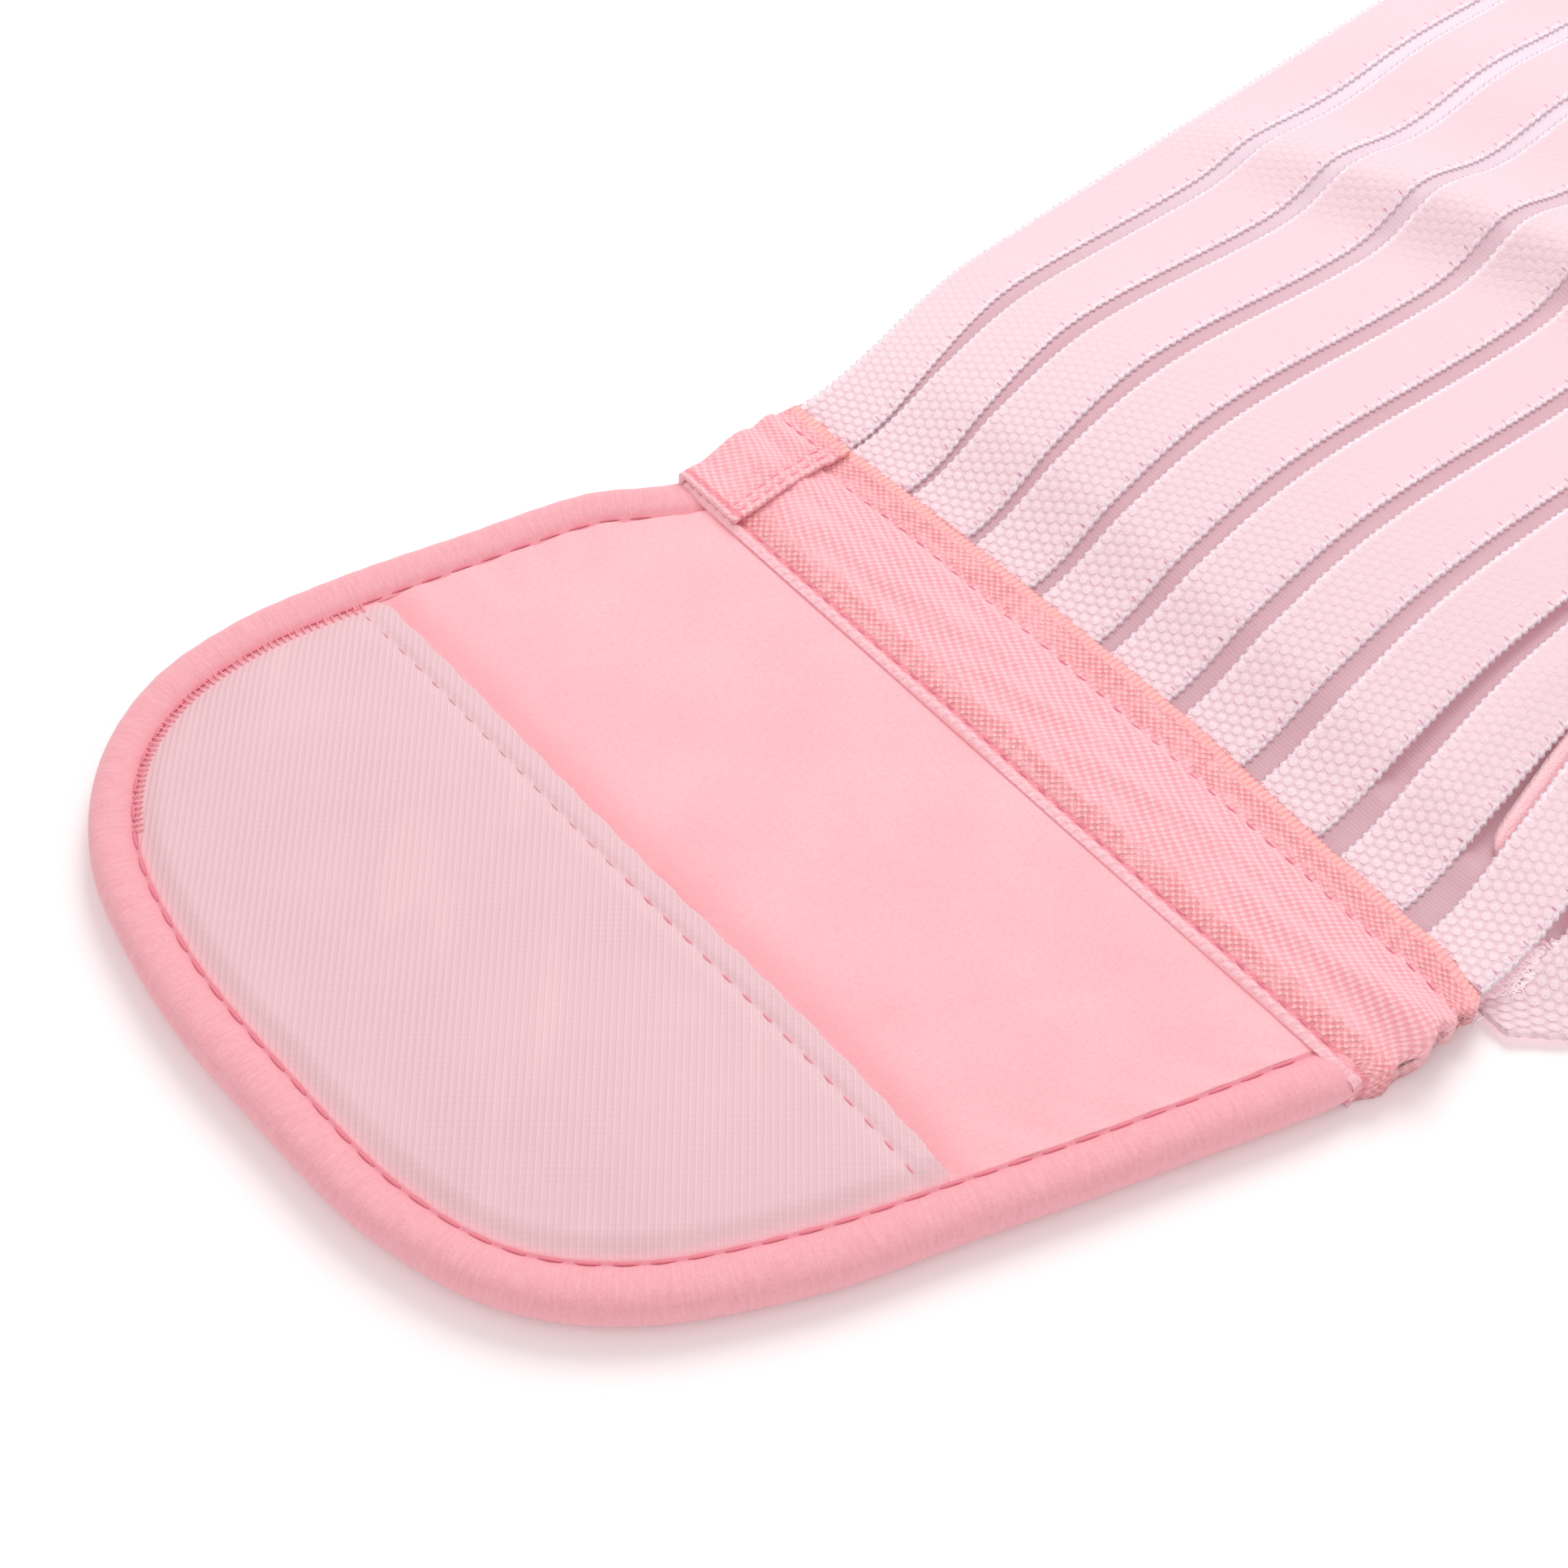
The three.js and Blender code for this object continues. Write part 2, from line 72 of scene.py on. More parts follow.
TAB_DEPTH = 98.0
TAB_HALF = 63.0
TAB_FACE = 5.0
TAB_PINCH = 0.45
TAB_SHOWN_PINCH = 0.64
TAB_TUCK = 5.0
TAB_SEWN_HALF = 61.0
BINDING_HEIGHT = 6.0
BINDING_WALL = 1.3
RIM_INSET = 2.6
PATCH_EDGE = 43.0
STRAP_WIDTH = 15.0
STRAP_THICK = 1.6
STRAP_LENGTH = 150.0
STRAP_START = 12.8
STRAP_ROW = 9.48
CLEAR = 0.3
ROWS_MIDDLE = (BAND_COUNT + 1) / 2
BAND_LEVEL = TAPE_SHEET + CLEAR + BAND_THICK / 2
TAB_SLOT = TAPE_SHEET + CLEAR + BINDING_HEIGHT * TAB_PINCH + CLEAR
BAND_SLOT = BAND_LEVEL + BAND_THICK / 2 + CLEAR

# Outline of a tab from the upper end of its seam round the tip: shares of TAB_DEPTH and TAB_HALF
TAB_OUTLINE = [
    (0.03, 1.03), (0.1, 1.1), (0.29, 1.19), (0.46, 1.26), (0.6, 1.3), (0.74, 1.285),
    (0.86, 1.19), (0.95, 1.0), (0.995, 0.7), (1.0, 0.34), (0.985, 0.0), (0.93, -0.25),
    (0.82, -0.44), (0.64, -0.6), (0.46, -0.71), (0.27, -0.82), (0.08, -0.92), (0.0, -0.955),
]
# Tape from its lower end to its upper end: share of TAPE_HALF, of TAPE_WIDTH and of TAPE_ARCH
TAPE_STATIONS = np.array([
    (-1.0, 0.84, 1.0), (-0.94, 0.88, 0.9), (-0.86, 0.915, 0.5), (-0.74, 0.945, 0.05),
    (-0.5, 0.97, 0.0), (-0.2, 1.015, 0.0), (0.1, 1.01, 0.0), (0.5, 0.985, 0.0),
    (0.82, 0.935, 0.0), (0.985, 0.9, 0.0),
])
# Swells across the bands: place and slant, rise and fall as shares of BAND_RUN, then heights in band widths
SWELLS = [
    (0.06, 0, 0.062, 0.075, 0.9, 0.82, 0.3),
    (0.125, 0, 0.075, 0.11, 0.0, 0.2, 0.75),
    (0.146, 0.0066, 0.016, 0.03, 0.55, 0.62, 0.5),
    (0.215, 0.004, 0.03, 0.035, 0.4, 0.2, 0.2),
    (0.4, 0.002, 0.08, 0.09, 0.36, 0.3, 0.26),
    (0.63, -0.002, 0.09, 0.09, 0.44, 0.22, 0.3),
    (0.83, 0, 0.08, 0.08, 0.4, 0.34, 0.2),
]
DROOP_ROWS = 3.5

SEAM_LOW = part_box("hook_end_tape")[0]
SEAM_X = SEAM_LOW[0] / MM
ROWS_Y = SEAM_LOW[1] / MM + TAPE_HALF


def smooth(t):
    c = np.clip(t, 0, 1)
    return c * c * (3 - 2 * c)


def mix(a, b, t):
    return a + (b - a) * t


def bell(distance, width):
    return np.exp(-((distance / width) ** 2))


# Camera, lights and floor. Places are millimetres from the first seam.
# Lamp sizes and the floor are metres, and powers are watts.
CAMERA_AT = (-143.4, -125.1, 270.0)
CAMERA_AIM = (-19.4, 17.77, 0.0)
CAMERA_LENS = 59.61
SENSOR = 36.0
NEAREST_SEEN = 0.01
LIGHT_AIM = (20, 0, 0)
KEY_AT = (400, 260, 600)
KEY_SIZE = 0.4
KEY_POWER = 2.6
KEY_COLOUR = (1, 1, 1)
FILL_AT = (-420, -260, 420)
FILL_SIZE = 0.6
FILL_POWER = 0.3
FILL_COLOUR = (1, 0.95, 0.96)
SKY_COLOUR = (1.0, 0.925, 0.93, 1)
SKY_STRENGTH = 0.8
FLOOR_HALF = 4.0
FLOOR_LEVEL = -0.0002
FLOOR_SHADED = (0.98, 0.975, 0.975, 1)
FLOOR_LIT = (0.995, 0.99, 0.99, 1)


def in_frame(points, mirrored=False):
    """Points in millimetres from the first seam, or from the second one, as metres of the shared frame."""
    moved = np.array(points, dtype=float) + (SEAM_X, ROWS_Y, 0)
    if mirrored:
        moved[..., 0] *= -1
    return moved * MM


def make_camera():
    data = bpy.data.cameras.new("camera")
    data.sensor_width = SENSOR
    data.lens = CAMERA_LENS
    data.clip_start = NEAREST_SEEN
    camera = bpy.data.objects.new("camera", data)
    bpy.context.scene.collection.objects.link(camera)
    at, aim = (Vector(in_frame(p)) for p in (CAMERA_AT, CAMERA_AIM))
    camera.location = at
    camera.rotation_euler = (aim - at).to_track_quat("-Z", "Y").to_euler()
    bpy.context.scene.camera = camera


def area_light(name, at, size, power, colour):
    data = bpy.data.lights.new(name, "AREA")
    data.shape = "DISK"
    data.size = size
    data.energy = power
    data.color = colour
    light = bpy.data.objects.new(name, data)
    bpy.context.scene.collection.objects.link(light)
    light.location = in_frame(at)
    direction = Vector(in_frame(LIGHT_AIM)) - Vector(in_frame(at))
    light.rotation_euler = direction.to_track_quat("-Z", "Y").to_euler()


def make_studio():
    scene = bpy.context.scene
    scene.view_settings.view_transform = "Standard"
    scene.view_settings.look = "None"
    scene.view_settings.exposure = 0.0
    world = bpy.data.worlds.new("studio")
    world.use_nodes = True
    sky = world.node_tree.nodes["Background"]
    sky.inputs["Color"].default_value = SKY_COLOUR
    sky.inputs["Strength"].default_value = SKY_STRENGTH
    scene.world = world
    area_light("key_light", KEY_AT, KEY_SIZE, KEY_POWER, KEY_COLOUR)
    area_light("fill_light", FILL_AT, FILL_SIZE, FILL_POWER, FILL_COLOUR)


make_camera()
make_studio()


# Shader building blocks
def set_input(tree, socket, value):
    if isinstance(value, bpy.types.NodeSocket):
        tree.links.new(value, socket)
    else:
        socket.default_value = value


def maths(tree, operation, a, b=0.0):
    node = tree.nodes.new("ShaderNodeMath")
    node.operation = operation
    set_input(tree, node.inputs[0], a)
    set_input(tree, node.inputs[1], b)
    return node.outputs[0]


def times(tree, a, b):
    return maths(tree, "MULTIPLY", a, b)


def plus(tree, a, b):
    return maths(tree, "ADD", a, b)


def ramp(tree, value, low, high, to_low=0.0, to_high=1.0):
    node = tree.nodes.new("ShaderNodeMapRange")
    node.interpolation_type = "SMOOTHSTEP"
    for socket, setting in zip(node.inputs, (value, low, high, to_low, to_high)):
        set_input(tree, socket, setting)
    return node.outputs["Result"]


def bell_mask(tree, value, middle, width):
    distance = maths(tree, "ABSOLUTE", maths(tree, "SUBTRACT", value, middle))
    return ramp(tree, distance, width, width * 0.4)


def blend(tree, share, a, b):
    node = tree.nodes.new("ShaderNodeMix")
    node.data_type = "RGBA"
    set_input(tree, node.inputs[0], share)
    set_input(tree, node.inputs[6], a)
    set_input(tree, node.inputs[7], b)
    return node.outputs[2]


def noise(tree, vector, scale, detail=2.0):
    node = tree.nodes.new("ShaderNodeTexNoise")
    set_input(tree, node.inputs["Vector"], vector)
    node.inputs["Scale"].default_value = scale
    node.inputs["Detail"].default_value = detail
    return node.outputs["Fac"]


def split(tree, vector):
    node = tree.nodes.new("ShaderNodeSeparateXYZ")
    set_input(tree, node.inputs[0], vector)
    return node.outputs


def joined(tree, x, y):
    node = tree.nodes.new("ShaderNodeCombineXYZ")
    set_input(tree, node.inputs["X"], x)
    set_input(tree, node.inputs["Y"], y)
    return node.outputs[0]


def wave(tree, value, period):
    return maths(tree, "COSINE", times(tree, value, 2 * math.pi / period))


def new_group(name, inputs, outputs):
    group = bpy.data.node_groups.new(name, "ShaderNodeTree")
    for socket, kind, value in inputs:
        made = group.interface.new_socket(socket, in_out="INPUT", socket_type=kind)
        if value is not None:
            made.default_value = value
    for socket in outputs:
        group.interface.new_socket(socket, in_out="OUTPUT", socket_type="NodeSocketFloat")
    return group, group.nodes.new("NodeGroupInput").outputs, group.nodes.new("NodeGroupOutput").inputs


KNIT_ALONG = 1.6  # length of a loop along the band
KNIT_WAVES = [(1.0, -1 / math.sqrt(3)), (0.0, 2 / math.sqrt(3)), (1.0, 1 / math.sqrt(3))]


def knit_group():
    """Round loops of the elastic in honeycomb order. Height is 1 on a loop and 0 between loops."""
    group, given, put = new_group("knit", [("Cloth", "NodeSocketVector", None)], ["Height"])
    along, across, _ = split(group, given["Cloth"])
    total = 0.0
    for x, y in KNIT_WAVES:
        turned = plus(group, times(group, along, x), times(group, across, y))
        total = plus(group, total, wave(group, turned, KNIT_ALONG))
    set_input(group, put["Height"], ramp(group, total, -1.55, 0.1))
    return group


def weave_group():
    """Plain weave with uneven threads. Height is 1 where a thread lies over another."""
    inputs = [
        ("Cloth", "NodeSocketVector", None),
        ("Pitch", "NodeSocketFloat", 0.8),
        ("Skew", "NodeSocketFloat", 0.0),
    ]
    group, given, put = new_group("weave", inputs, ["Height"])
    along, across, _ = split(group, given["Cloth"])
    skewed = plus(group, along, times(group, across, given["Skew"]))
    rate = maths(group, "DIVIDE", math.pi, given["Pitch"])
    first = maths(group, "SINE", times(group, skewed, rate))
    second = maths(group, "SINE", times(group, across, rate))
    over = times(group, first, second)
    uneven = times(group, noise(group, given["Cloth"], 1.1, 2.0), 0.4)
    set_input(group, put["Height"], ramp(group, plus(group, over, uneven), -0.4, 0.95))
    return group


def pile_group():
    """Short brushed loops. Height is their fine relief, and Cloud their broad unevenness."""
    inputs = [("Cloth", "NodeSocketVector", None)]
    group, given, put = new_group("pile", inputs, ["Height", "Cloud"])
    fine = noise(group, given["Cloth"], 3.2, 3.0)
    loops = noise(group, given["Cloth"], 1.3, 1.0)
    set_input(group, put["Height"], plus(group, fine, times(group, loops, 0.5)))
    set_input(group, put["Cloud"], noise(group, given["Cloth"], 0.07, 2.0))
    return group


GROUPS = {"knit": knit_group(), "weave": weave_group(), "pile": pile_group()}


def use_group(tree, name, **values):
    node = tree.nodes.new("ShaderNodeGroup")
    node.node_tree = GROUPS[name]
    for socket, value in values.items():
        set_input(tree, node.inputs[socket], value)
    return node.outputs


def finish_name(name, roughness, sheen=0.0):
    """A new material with its tree, its main shader and the cloth coordinates in millimetres."""
    material = bpy.data.materials.new(name)
    material.use_nodes = True
    tree = material.node_tree
    shader = tree.nodes["Principled BSDF"]
    shader.inputs["Roughness"].default_value = roughness
    shader.inputs["Specular IOR Level"].default_value = 0.25
    shader.inputs["Sheen Weight"].default_value = sheen
    shader.inputs["Sheen Roughness"].default_value = 0.6
    cloth = tree.nodes.new("ShaderNodeAttribute")
    cloth.attribute_name = "cloth"
    return material, tree, shader, cloth.outputs["Vector"]


def add_bump(tree, shader, height, depth_mm):
    bump = tree.nodes.new("ShaderNodeBump")
    bump.inputs["Strength"].default_value = 1.0
    bump.inputs["Distance"].default_value = depth_mm * MM
    set_input(tree, bump.inputs["Height"], height)
    tree.links.new(bump.outputs["Normal"], shader.inputs["Normal"])


def rgb(red, green, blue):
    """A colour of the screen, 0 to 255, as the linear colour of a shader."""
    def linear(value):
        share = value / 255
        return share / 12.92 if share <= 0.04045 else ((share + 0.055) / 1.055) ** 2.4
    return (linear(red), linear(green), linear(blue), 1.0)


# Colours of the elastic and its borders
YARN_FAR = rgb(233, 202, 210)
YARN_NEAR = rgb(241, 221, 228)
# Painted shade: darker pink in the crevices between the knitted loops
YARN_CREVICE_SHADE = rgb(233, 201, 207)
YARN_CLOUD = rgb(242, 214, 220)
BORDER_LOW = rgb(238, 214, 226)
BORDER_HIGH = rgb(252, 242, 248)
BORDER_SPECK = rgb(205, 130, 172)
NO_GLOW = rgb(0, 0, 0)
YARN_GLOW = rgb(226, 190, 200)
# Colours of the sheer strips
SHEER_SHADED_LOW = rgb(209, 171, 179)
SHEER_LIT_LOW = rgb(236, 222, 232)
SHEER_SHADED_HIGH = rgb(221, 185, 193)
SHEER_LIT_HIGH = rgb(240, 230, 238)
SHEER_GLOW_LOW = rgb(96, 74, 80)
SHEER_GLOW_HIGH = rgb(128, 124, 132)
# Colours of the woven tape, its hem, its seam and its rim
RIB_LOW = rgb(243, 166, 174)
RIB_HIGH = rgb(252, 202, 207)
OPEN_LOW = rgb(231, 143, 147)
OPEN_HIGH = rgb(252, 190, 193)
# Lighter streaks drawn out along the tape
TAPE_PALE_STREAK = rgb(250, 195, 201)
# Painted highlight: the rolled hem at the tape's seam edge drawn paler
HEM_HIGHLIGHT = rgb(255, 206, 213)
# Painted shade: a dark red line in the groove of the seam stitches
SEAM_GROOVE_SHADE = rgb(226, 112, 128)
TAPE_RIM_LOW = rgb(248, 168, 166)
TAPE_RIM_HIGH = rgb(254, 192, 186)
# Colours of the brushed cloth and of the binding
# Painted shade: darker coral on the pad beside the patch's straight edge
PILE_PAINTED_SHADE = rgb(236, 160, 168)
BRUSHED_LOW = rgb(246, 176, 184)
BRUSHED_HIGH = rgb(253, 201, 205)
STRAP_LOW = rgb(255, 190, 198)
STRAP_HIGH = rgb(255, 226, 229)
BINDING_LOW = rgb(232, 158, 167)
BINDING_HIGH = rgb(246, 187, 194)
# Painted shade in the groove where the binding is sewn down
BINDING_GROOVE_SHADE = rgb(232, 124, 144)
# Colours of the hook sheet
HOOK_LOW = rgb(219, 182, 188)
HOOK_HIGH = rgb(230, 195, 200)
HOOK_DOT = rgb(242, 214, 218)
# Painted sheen: faint lighter streaks on the hook sheet
HOOK_SHEEN_STREAK = rgb(244, 216, 216)
# Painted light: a lighter, pinker tone along the rim under the binding
HOOK_RIM_LIGHT = rgb(246, 182, 190)


def elastic_finish():
    material, tree, shader, cloth = finish_name("knitted_elastic", 0.85, 0.15)
    along, across, side = split(tree, cloth)
    strength = maths(tree, "MAXIMUM", side, 0.0)
    wall = ramp(tree, side, 0.0, -0.4)
    loops = use_group(tree, "knit", Cloth=joined(tree, along, across))["Height"]
    away = maths(tree, "ABSOLUTE", across)
    border = ramp(tree, away, 4.3, 4.8)
    cloud = use_group(tree, "pile", Cloth=cloth)
    # Painted shade falls in the crevices between loops, more where the knit is stretched open
    relief = times(tree, maths(tree, "SUBTRACT", 1.0, loops), strength)
    plain = blend(tree, strength, YARN_FAR, YARN_NEAR)
    base = blend(tree, relief, plain, YARN_CREVICE_SHADE)
    uneven = blend(tree, times(tree, cloud["Cloud"], 0.35), base, YARN_CLOUD)
    knots = ramp(tree, noise(tree, cloth, 2.6, 1.0), 0.4, 0.62)
    edge = blend(tree, knots, BORDER_LOW, BORDER_HIGH)
    bordered = blend(tree, times(tree, border, 0.75), uneven, edge)
    near_border = bell_mask(tree, across, -4.35, 0.5)
    paired = ramp(tree, wave(tree, along, 0.95), 0.55, 0.85)
    spaced = ramp(tree, plus(tree, wave(tree, along, 2.85), noise(tree, cloth, 0.6)), 0.45, 0.75)
    speck = times(tree, near_border, times(tree, paired, spaced))
    colour = blend(tree, times(tree, speck, 0.75), bordered, BORDER_SPECK)
    set_input(tree, shader.inputs["Base Color"], colour)
    set_input(tree, shader.inputs["Emission Color"], blend(tree, wall, NO_GLOW, YARN_GLOW))
    shader.inputs["Emission Strength"].default_value = 0.5
    yarn = plus(tree, times(tree, loops, strength), times(tree, cloud["Height"], 0.3))
    add_bump(tree, shader, plus(tree, yarn, times(tree, knots, 0.25)), 0.12)
    return material


def sheer_finish():
    material, tree, shader, cloth = finish_name("sheer_strip", 0.42)
    along, across, light = split(tree, cloth)
    threads = plus(tree, times(tree, ramp(tree, wave(tree, along, 0.5), -0.6, 0.9), 0.4), 0.6)
    streak = noise(tree, joined(tree, times(tree, along, 1.4), times(tree, across, 0.15)), 1.0)
    shade = times(tree, threads, plus(tree, streak, 0.2))
    pale = blend(tree, light, SHEER_SHADED_LOW, SHEER_LIT_LOW)
    paler = blend(tree, light, SHEER_SHADED_HIGH, SHEER_LIT_HIGH)
    set_input(tree, shader.inputs["Base Color"], blend(tree, shade, pale, paler))
    set_input(tree, shader.inputs["Emission Color"], blend(tree, light, SHEER_GLOW_LOW, SHEER_GLOW_HIGH))
    shader.inputs["Emission Strength"].default_value = 0.32
    set_input(tree, shader.inputs["Alpha"], plus(tree, times(tree, threads, 0.12), 0.6))
    add_bump(tree, shader, threads, 0.03)
    return material


def canvas_finish():
    """Woven tape: fine slanted ribs, and coarser open weave in the rows beside its stitches."""
    material, tree, shader, cloth = finish_name("woven_tape", 0.88, 0.1)
    across, along, open_share = split(tree, cloth)
    flat = joined(tree, across, along)
    drift = noise(tree, flat, 0.5, 2.0)
    bent = joined(tree, plus(tree, across, times(tree, drift, 0.3)), along)
    basket = use_group(tree, "weave", Cloth=bent, Pitch=0.58, Skew=0.0)
    ribs = use_group(tree, "weave", Cloth=bent, Pitch=0.6, Skew=0.5)
    cloud = use_group(tree, "pile", Cloth=flat)
    streak_and_shade = noise(tree, joined(tree, times(tree, across, 0.5), times(tree, along, 0.12)), 1.0, 3.0)
    ribbed = blend(tree, ribs["Height"], RIB_LOW, RIB_HIGH)
    dotted = blend(tree, basket["Height"], OPEN_LOW, OPEN_HIGH)
    patchy = maths(tree, "SUBTRACT", times(tree, noise(tree, flat, 0.4, 4.0), 1.5), 0.75)
    zone = ramp(tree, plus(tree, open_share, patchy), 0.1, 0.9)
    woven = blend(tree, zone, ribbed, dotted)
    # Lighter streaks from a noise drawn out along the tape
    light = blend(tree, ramp(tree, streak_and_shade, 0.42, 0.66), woven, TAPE_PALE_STREAK)
    woven = blend(tree, 0.45, woven, light)
    # Painted highlight along the rolled hem
    hem = bell_mask(tree, across, 0.2, 1.1)
    hemmed = blend(tree, times(tree, hem, 0.8), woven, HEM_HIGHLIGHT)
    # Painted shade in the groove along the seam row
    sewn = bell_mask(tree, across, 1.8, 0.6)
    lined = blend(tree, times(tree, sewn, 0.55), hemmed, SEAM_GROOVE_SHADE)
    edge = ramp(tree, across, 22.1, 22.7)
    threads = ramp(tree, wave(tree, along, 0.85), -0.8, 0.6)
    rim = blend(tree, threads, TAPE_RIM_LOW, TAPE_RIM_HIGH)
    edged = blend(tree, times(tree, edge, 0.85), lined, rim)
    set_input(tree, shader.inputs["Base Color"], edged)
    relief = times(tree, ribs["Height"], 0.6)
    deep = times(tree, basket["Height"], zone)
    fuzz = times(tree, cloud["Height"], 0.3)
    add_bump(tree, shader, plus(tree, plus(tree, relief, deep), fuzz), 0.13)
    return material


def pile_finish(name, low, high, sheen, depth):
    material, tree, shader, cloth = finish_name(name, 0.95, sheen)
    along, across, streak_and_shade = split(tree, cloth)
    pile = use_group(tree, "pile", Cloth=joined(tree, along, across))
    tone = plus(tree, times(tree, pile["Height"], 0.5), times(tree, pile["Cloud"], 0.4))
    brushed = blend(tree, ramp(tree, tone, 0.25, 0.95), low, high)
    # The cloth's third share paints shade, darker coral beside the patch's edge
    set_input(tree, shader.inputs["Base Color"], blend(tree, times(tree, streak_and_shade, 0.5), brushed, PILE_PAINTED_SHADE))
    add_bump(tree, shader, pile["Height"], depth)
    return material


def binding_finish():
    """Brushed cloth with faint ribs across the roll and painted shade in the groove where it's sewn."""
    material, tree, shader, cloth = finish_name("rolled_binding", 0.95, 0.25)
    along, around, sewn = split(tree, cloth)
    pile = use_group(tree, "pile", Cloth=joined(tree, along, around))
    strands = noise(tree, joined(tree, times(tree, along, 2.2), times(tree, around, 0.3)), 1.0, 3.0)
    tone = plus(tree, times(tree, pile["Height"], 0.35), times(tree, strands, 0.5))
    brushed = blend(tree, ramp(tree, tone, 0.2, 0.9), BINDING_LOW, BINDING_HIGH)
    # Painted shade in the sewn groove, broken up by the strands
    uneven = times(tree, sewn, times(tree, strands, 0.9))
    set_input(tree, shader.inputs["Base Color"], blend(tree, uneven, brushed, BINDING_GROOVE_SHADE))
    add_bump(tree, shader, plus(tree, pile["Height"], times(tree, strands, 0.6)), 0.09)
    return material


def hook_finish():
    material, tree, shader, cloth = finish_name("hook_sheet", 0.5)
    shader.inputs["Coat Weight"].default_value = 0.08
    shader.inputs["Coat Roughness"].default_value = 0.35
    along, across, rim = split(tree, cloth)
    rows = wave(tree, along, 0.86)
    hooks = wave(tree, across, 0.75)
    dots = ramp(tree, plus(tree, rows, times(tree, hooks, 0.22)), -0.7, 1.1)
    pile = use_group(tree, "pile", Cloth=joined(tree, along, across))
    cloudy = blend(tree, pile["Cloud"], HOOK_LOW, HOOK_HIGH)
    dotted = blend(tree, times(tree, dots, 0.26), cloudy, HOOK_DOT)
    # Painted sheen: faint lighter streaks drawn out in one direction
    drawn = joined(tree, times(tree, along, 0.16), times(tree, across, 0.035))
    streak = ramp(tree, noise(tree, drawn, 1.0, 1.0), 0.58, 0.74)
    sheen_streaked = blend(tree, times(tree, streak, 0.14), dotted, HOOK_SHEEN_STREAK)
    # Painted light along the rim, over the shade where the patch goes under the binding
    tinted = blend(tree, times(tree, rim, 0.75), sheen_streaked, HOOK_RIM_LIGHT)
    set_input(tree, shader.inputs["Base Color"], tinted)
    set_input(tree, shader.inputs["Roughness"], ramp(tree, pile["Cloud"], 0.3, 0.7, 0.42, 0.58))
    add_bump(tree, shader, dots, 0.06)
    return material


def thread_finish(name, low, high, glow=0.0):
    material, tree, shader, cloth = finish_name(name, 0.6, 0.1)
    shader.inputs["Emission Color"].default_value = high
    shader.inputs["Emission Strength"].default_value = glow
    along, across, _ = split(tree, cloth)
    twist = wave(tree, plus(tree, along, across), 0.32)
    set_input(tree, shader.inputs["Base Color"], blend(tree, ramp(tree, twist, -1.0, 1.0), low, high))
    return material


def floor_finish():
    material = bpy.data.materials.new("plain_floor")
    material.use_nodes = True
    tree = material.node_tree
    shader = tree.nodes["Principled BSDF"]
    shader.inputs["Roughness"].default_value = 0.9
    shader.inputs["Specular IOR Level"].default_value = 0.1
    place = tree.nodes.new("ShaderNodeTexCoord").outputs["Object"]
    tone = noise(tree, place, 3.0)
    set_input(tree, shader.inputs["Base Color"], blend(tree, tone, FLOOR_SHADED, FLOOR_LIT))
    return material


FINISH = {
    "elastic": elastic_finish(),
    "sheer": sheer_finish(),
    "canvas": canvas_finish(),
    "brushed": pile_finish("brushed_face", BRUSHED_LOW, BRUSHED_HIGH, 0.25, 0.08),
    "strap": pile_finish("strap_face", STRAP_LOW, STRAP_HIGH, 0.3, 0.25),
    "binding": binding_finish(),
    "hook": hook_finish(),
    "dark_thread": thread_finish("purple_thread", rgb(196, 96, 126), rgb(232, 146, 166)),
    "pink_thread": thread_finish("pink_thread", rgb(236, 140, 158), rgb(252, 178, 190)),
    "binding_thread": thread_finish("binding_thread", rgb(222, 118, 136), rgb(238, 150, 164)),
    "pale_thread": thread_finish("pale_thread", rgb(230, 176, 184), rgb(242, 202, 208)),
    "white_thread": thread_finish("white_thread", rgb(248, 224, 232), rgb(255, 244, 248), 0.12),
}


# Mesh building
def as_points(x, y, z):
    """Three grids that spread to one shape, as one list of points."""
    return np.stack(np.broadcast_arrays(x, y, z), axis=-1).reshape(-1, 3)


def add_piece(name, points, faces, cloth, finish, replaced=(), mirrored=False):
    """A smooth mesh from points in millimetres.

    cloth holds each point's distances along and across the cloth, and a share for the finish.
    """
    mesh = bpy.data.meshes.new(name)
    mesh.from_pydata(in_frame(points, mirrored).tolist(), [], faces)
    mesh.attributes.new("cloth", "FLOAT_VECTOR", "POINT").data.foreach_set(
        "vector", np.ascontiguousarray(cloth, dtype=np.float32).ravel()
    )
    work = bmesh.new()
    work.from_mesh(mesh)
    bmesh.ops.recalc_face_normals(work, faces=work.faces)
    work.to_mesh(mesh)
    work.free()
    mesh.shade_smooth()
    mesh.materials.append(FINISH[finish])
    piece = bpy.data.objects.new(name, mesh)
    bpy.context.scene.collection.objects.link(piece)
    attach(piece, "root")
    if replaced:
        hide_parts(*replaced)
    return piece


def loft_faces(count, size, caps=True):
    """Faces through count rings of size points each, and one face over each end."""
    at = np.arange(count - 1)[:, None] * size
    here = np.arange(size)[None, :]
    after = (here + 1) % size
    quads = np.stack([at + here, at + after, at + after + size, at + here + size], axis=-1).reshape(-1, 4)
    faces = quads.tolist()
    if caps:
        faces.append(list(range(size))[::-1])
        faces.append([(count - 1) * size + i for i in range(size)])
    return faces


# Webbing
def from_tape(run):
    return np.maximum(0, np.minimum(run, BAND_RUN - run))


def tape_share(column, y):
    return np.interp(np.asarray(y) / TAPE_HALF, TAPE_STATIONS[:, 0], TAPE_STATIONS[:, column])


def arch_at(y):
    return TAPE_ARCH * tape_share(2, y)


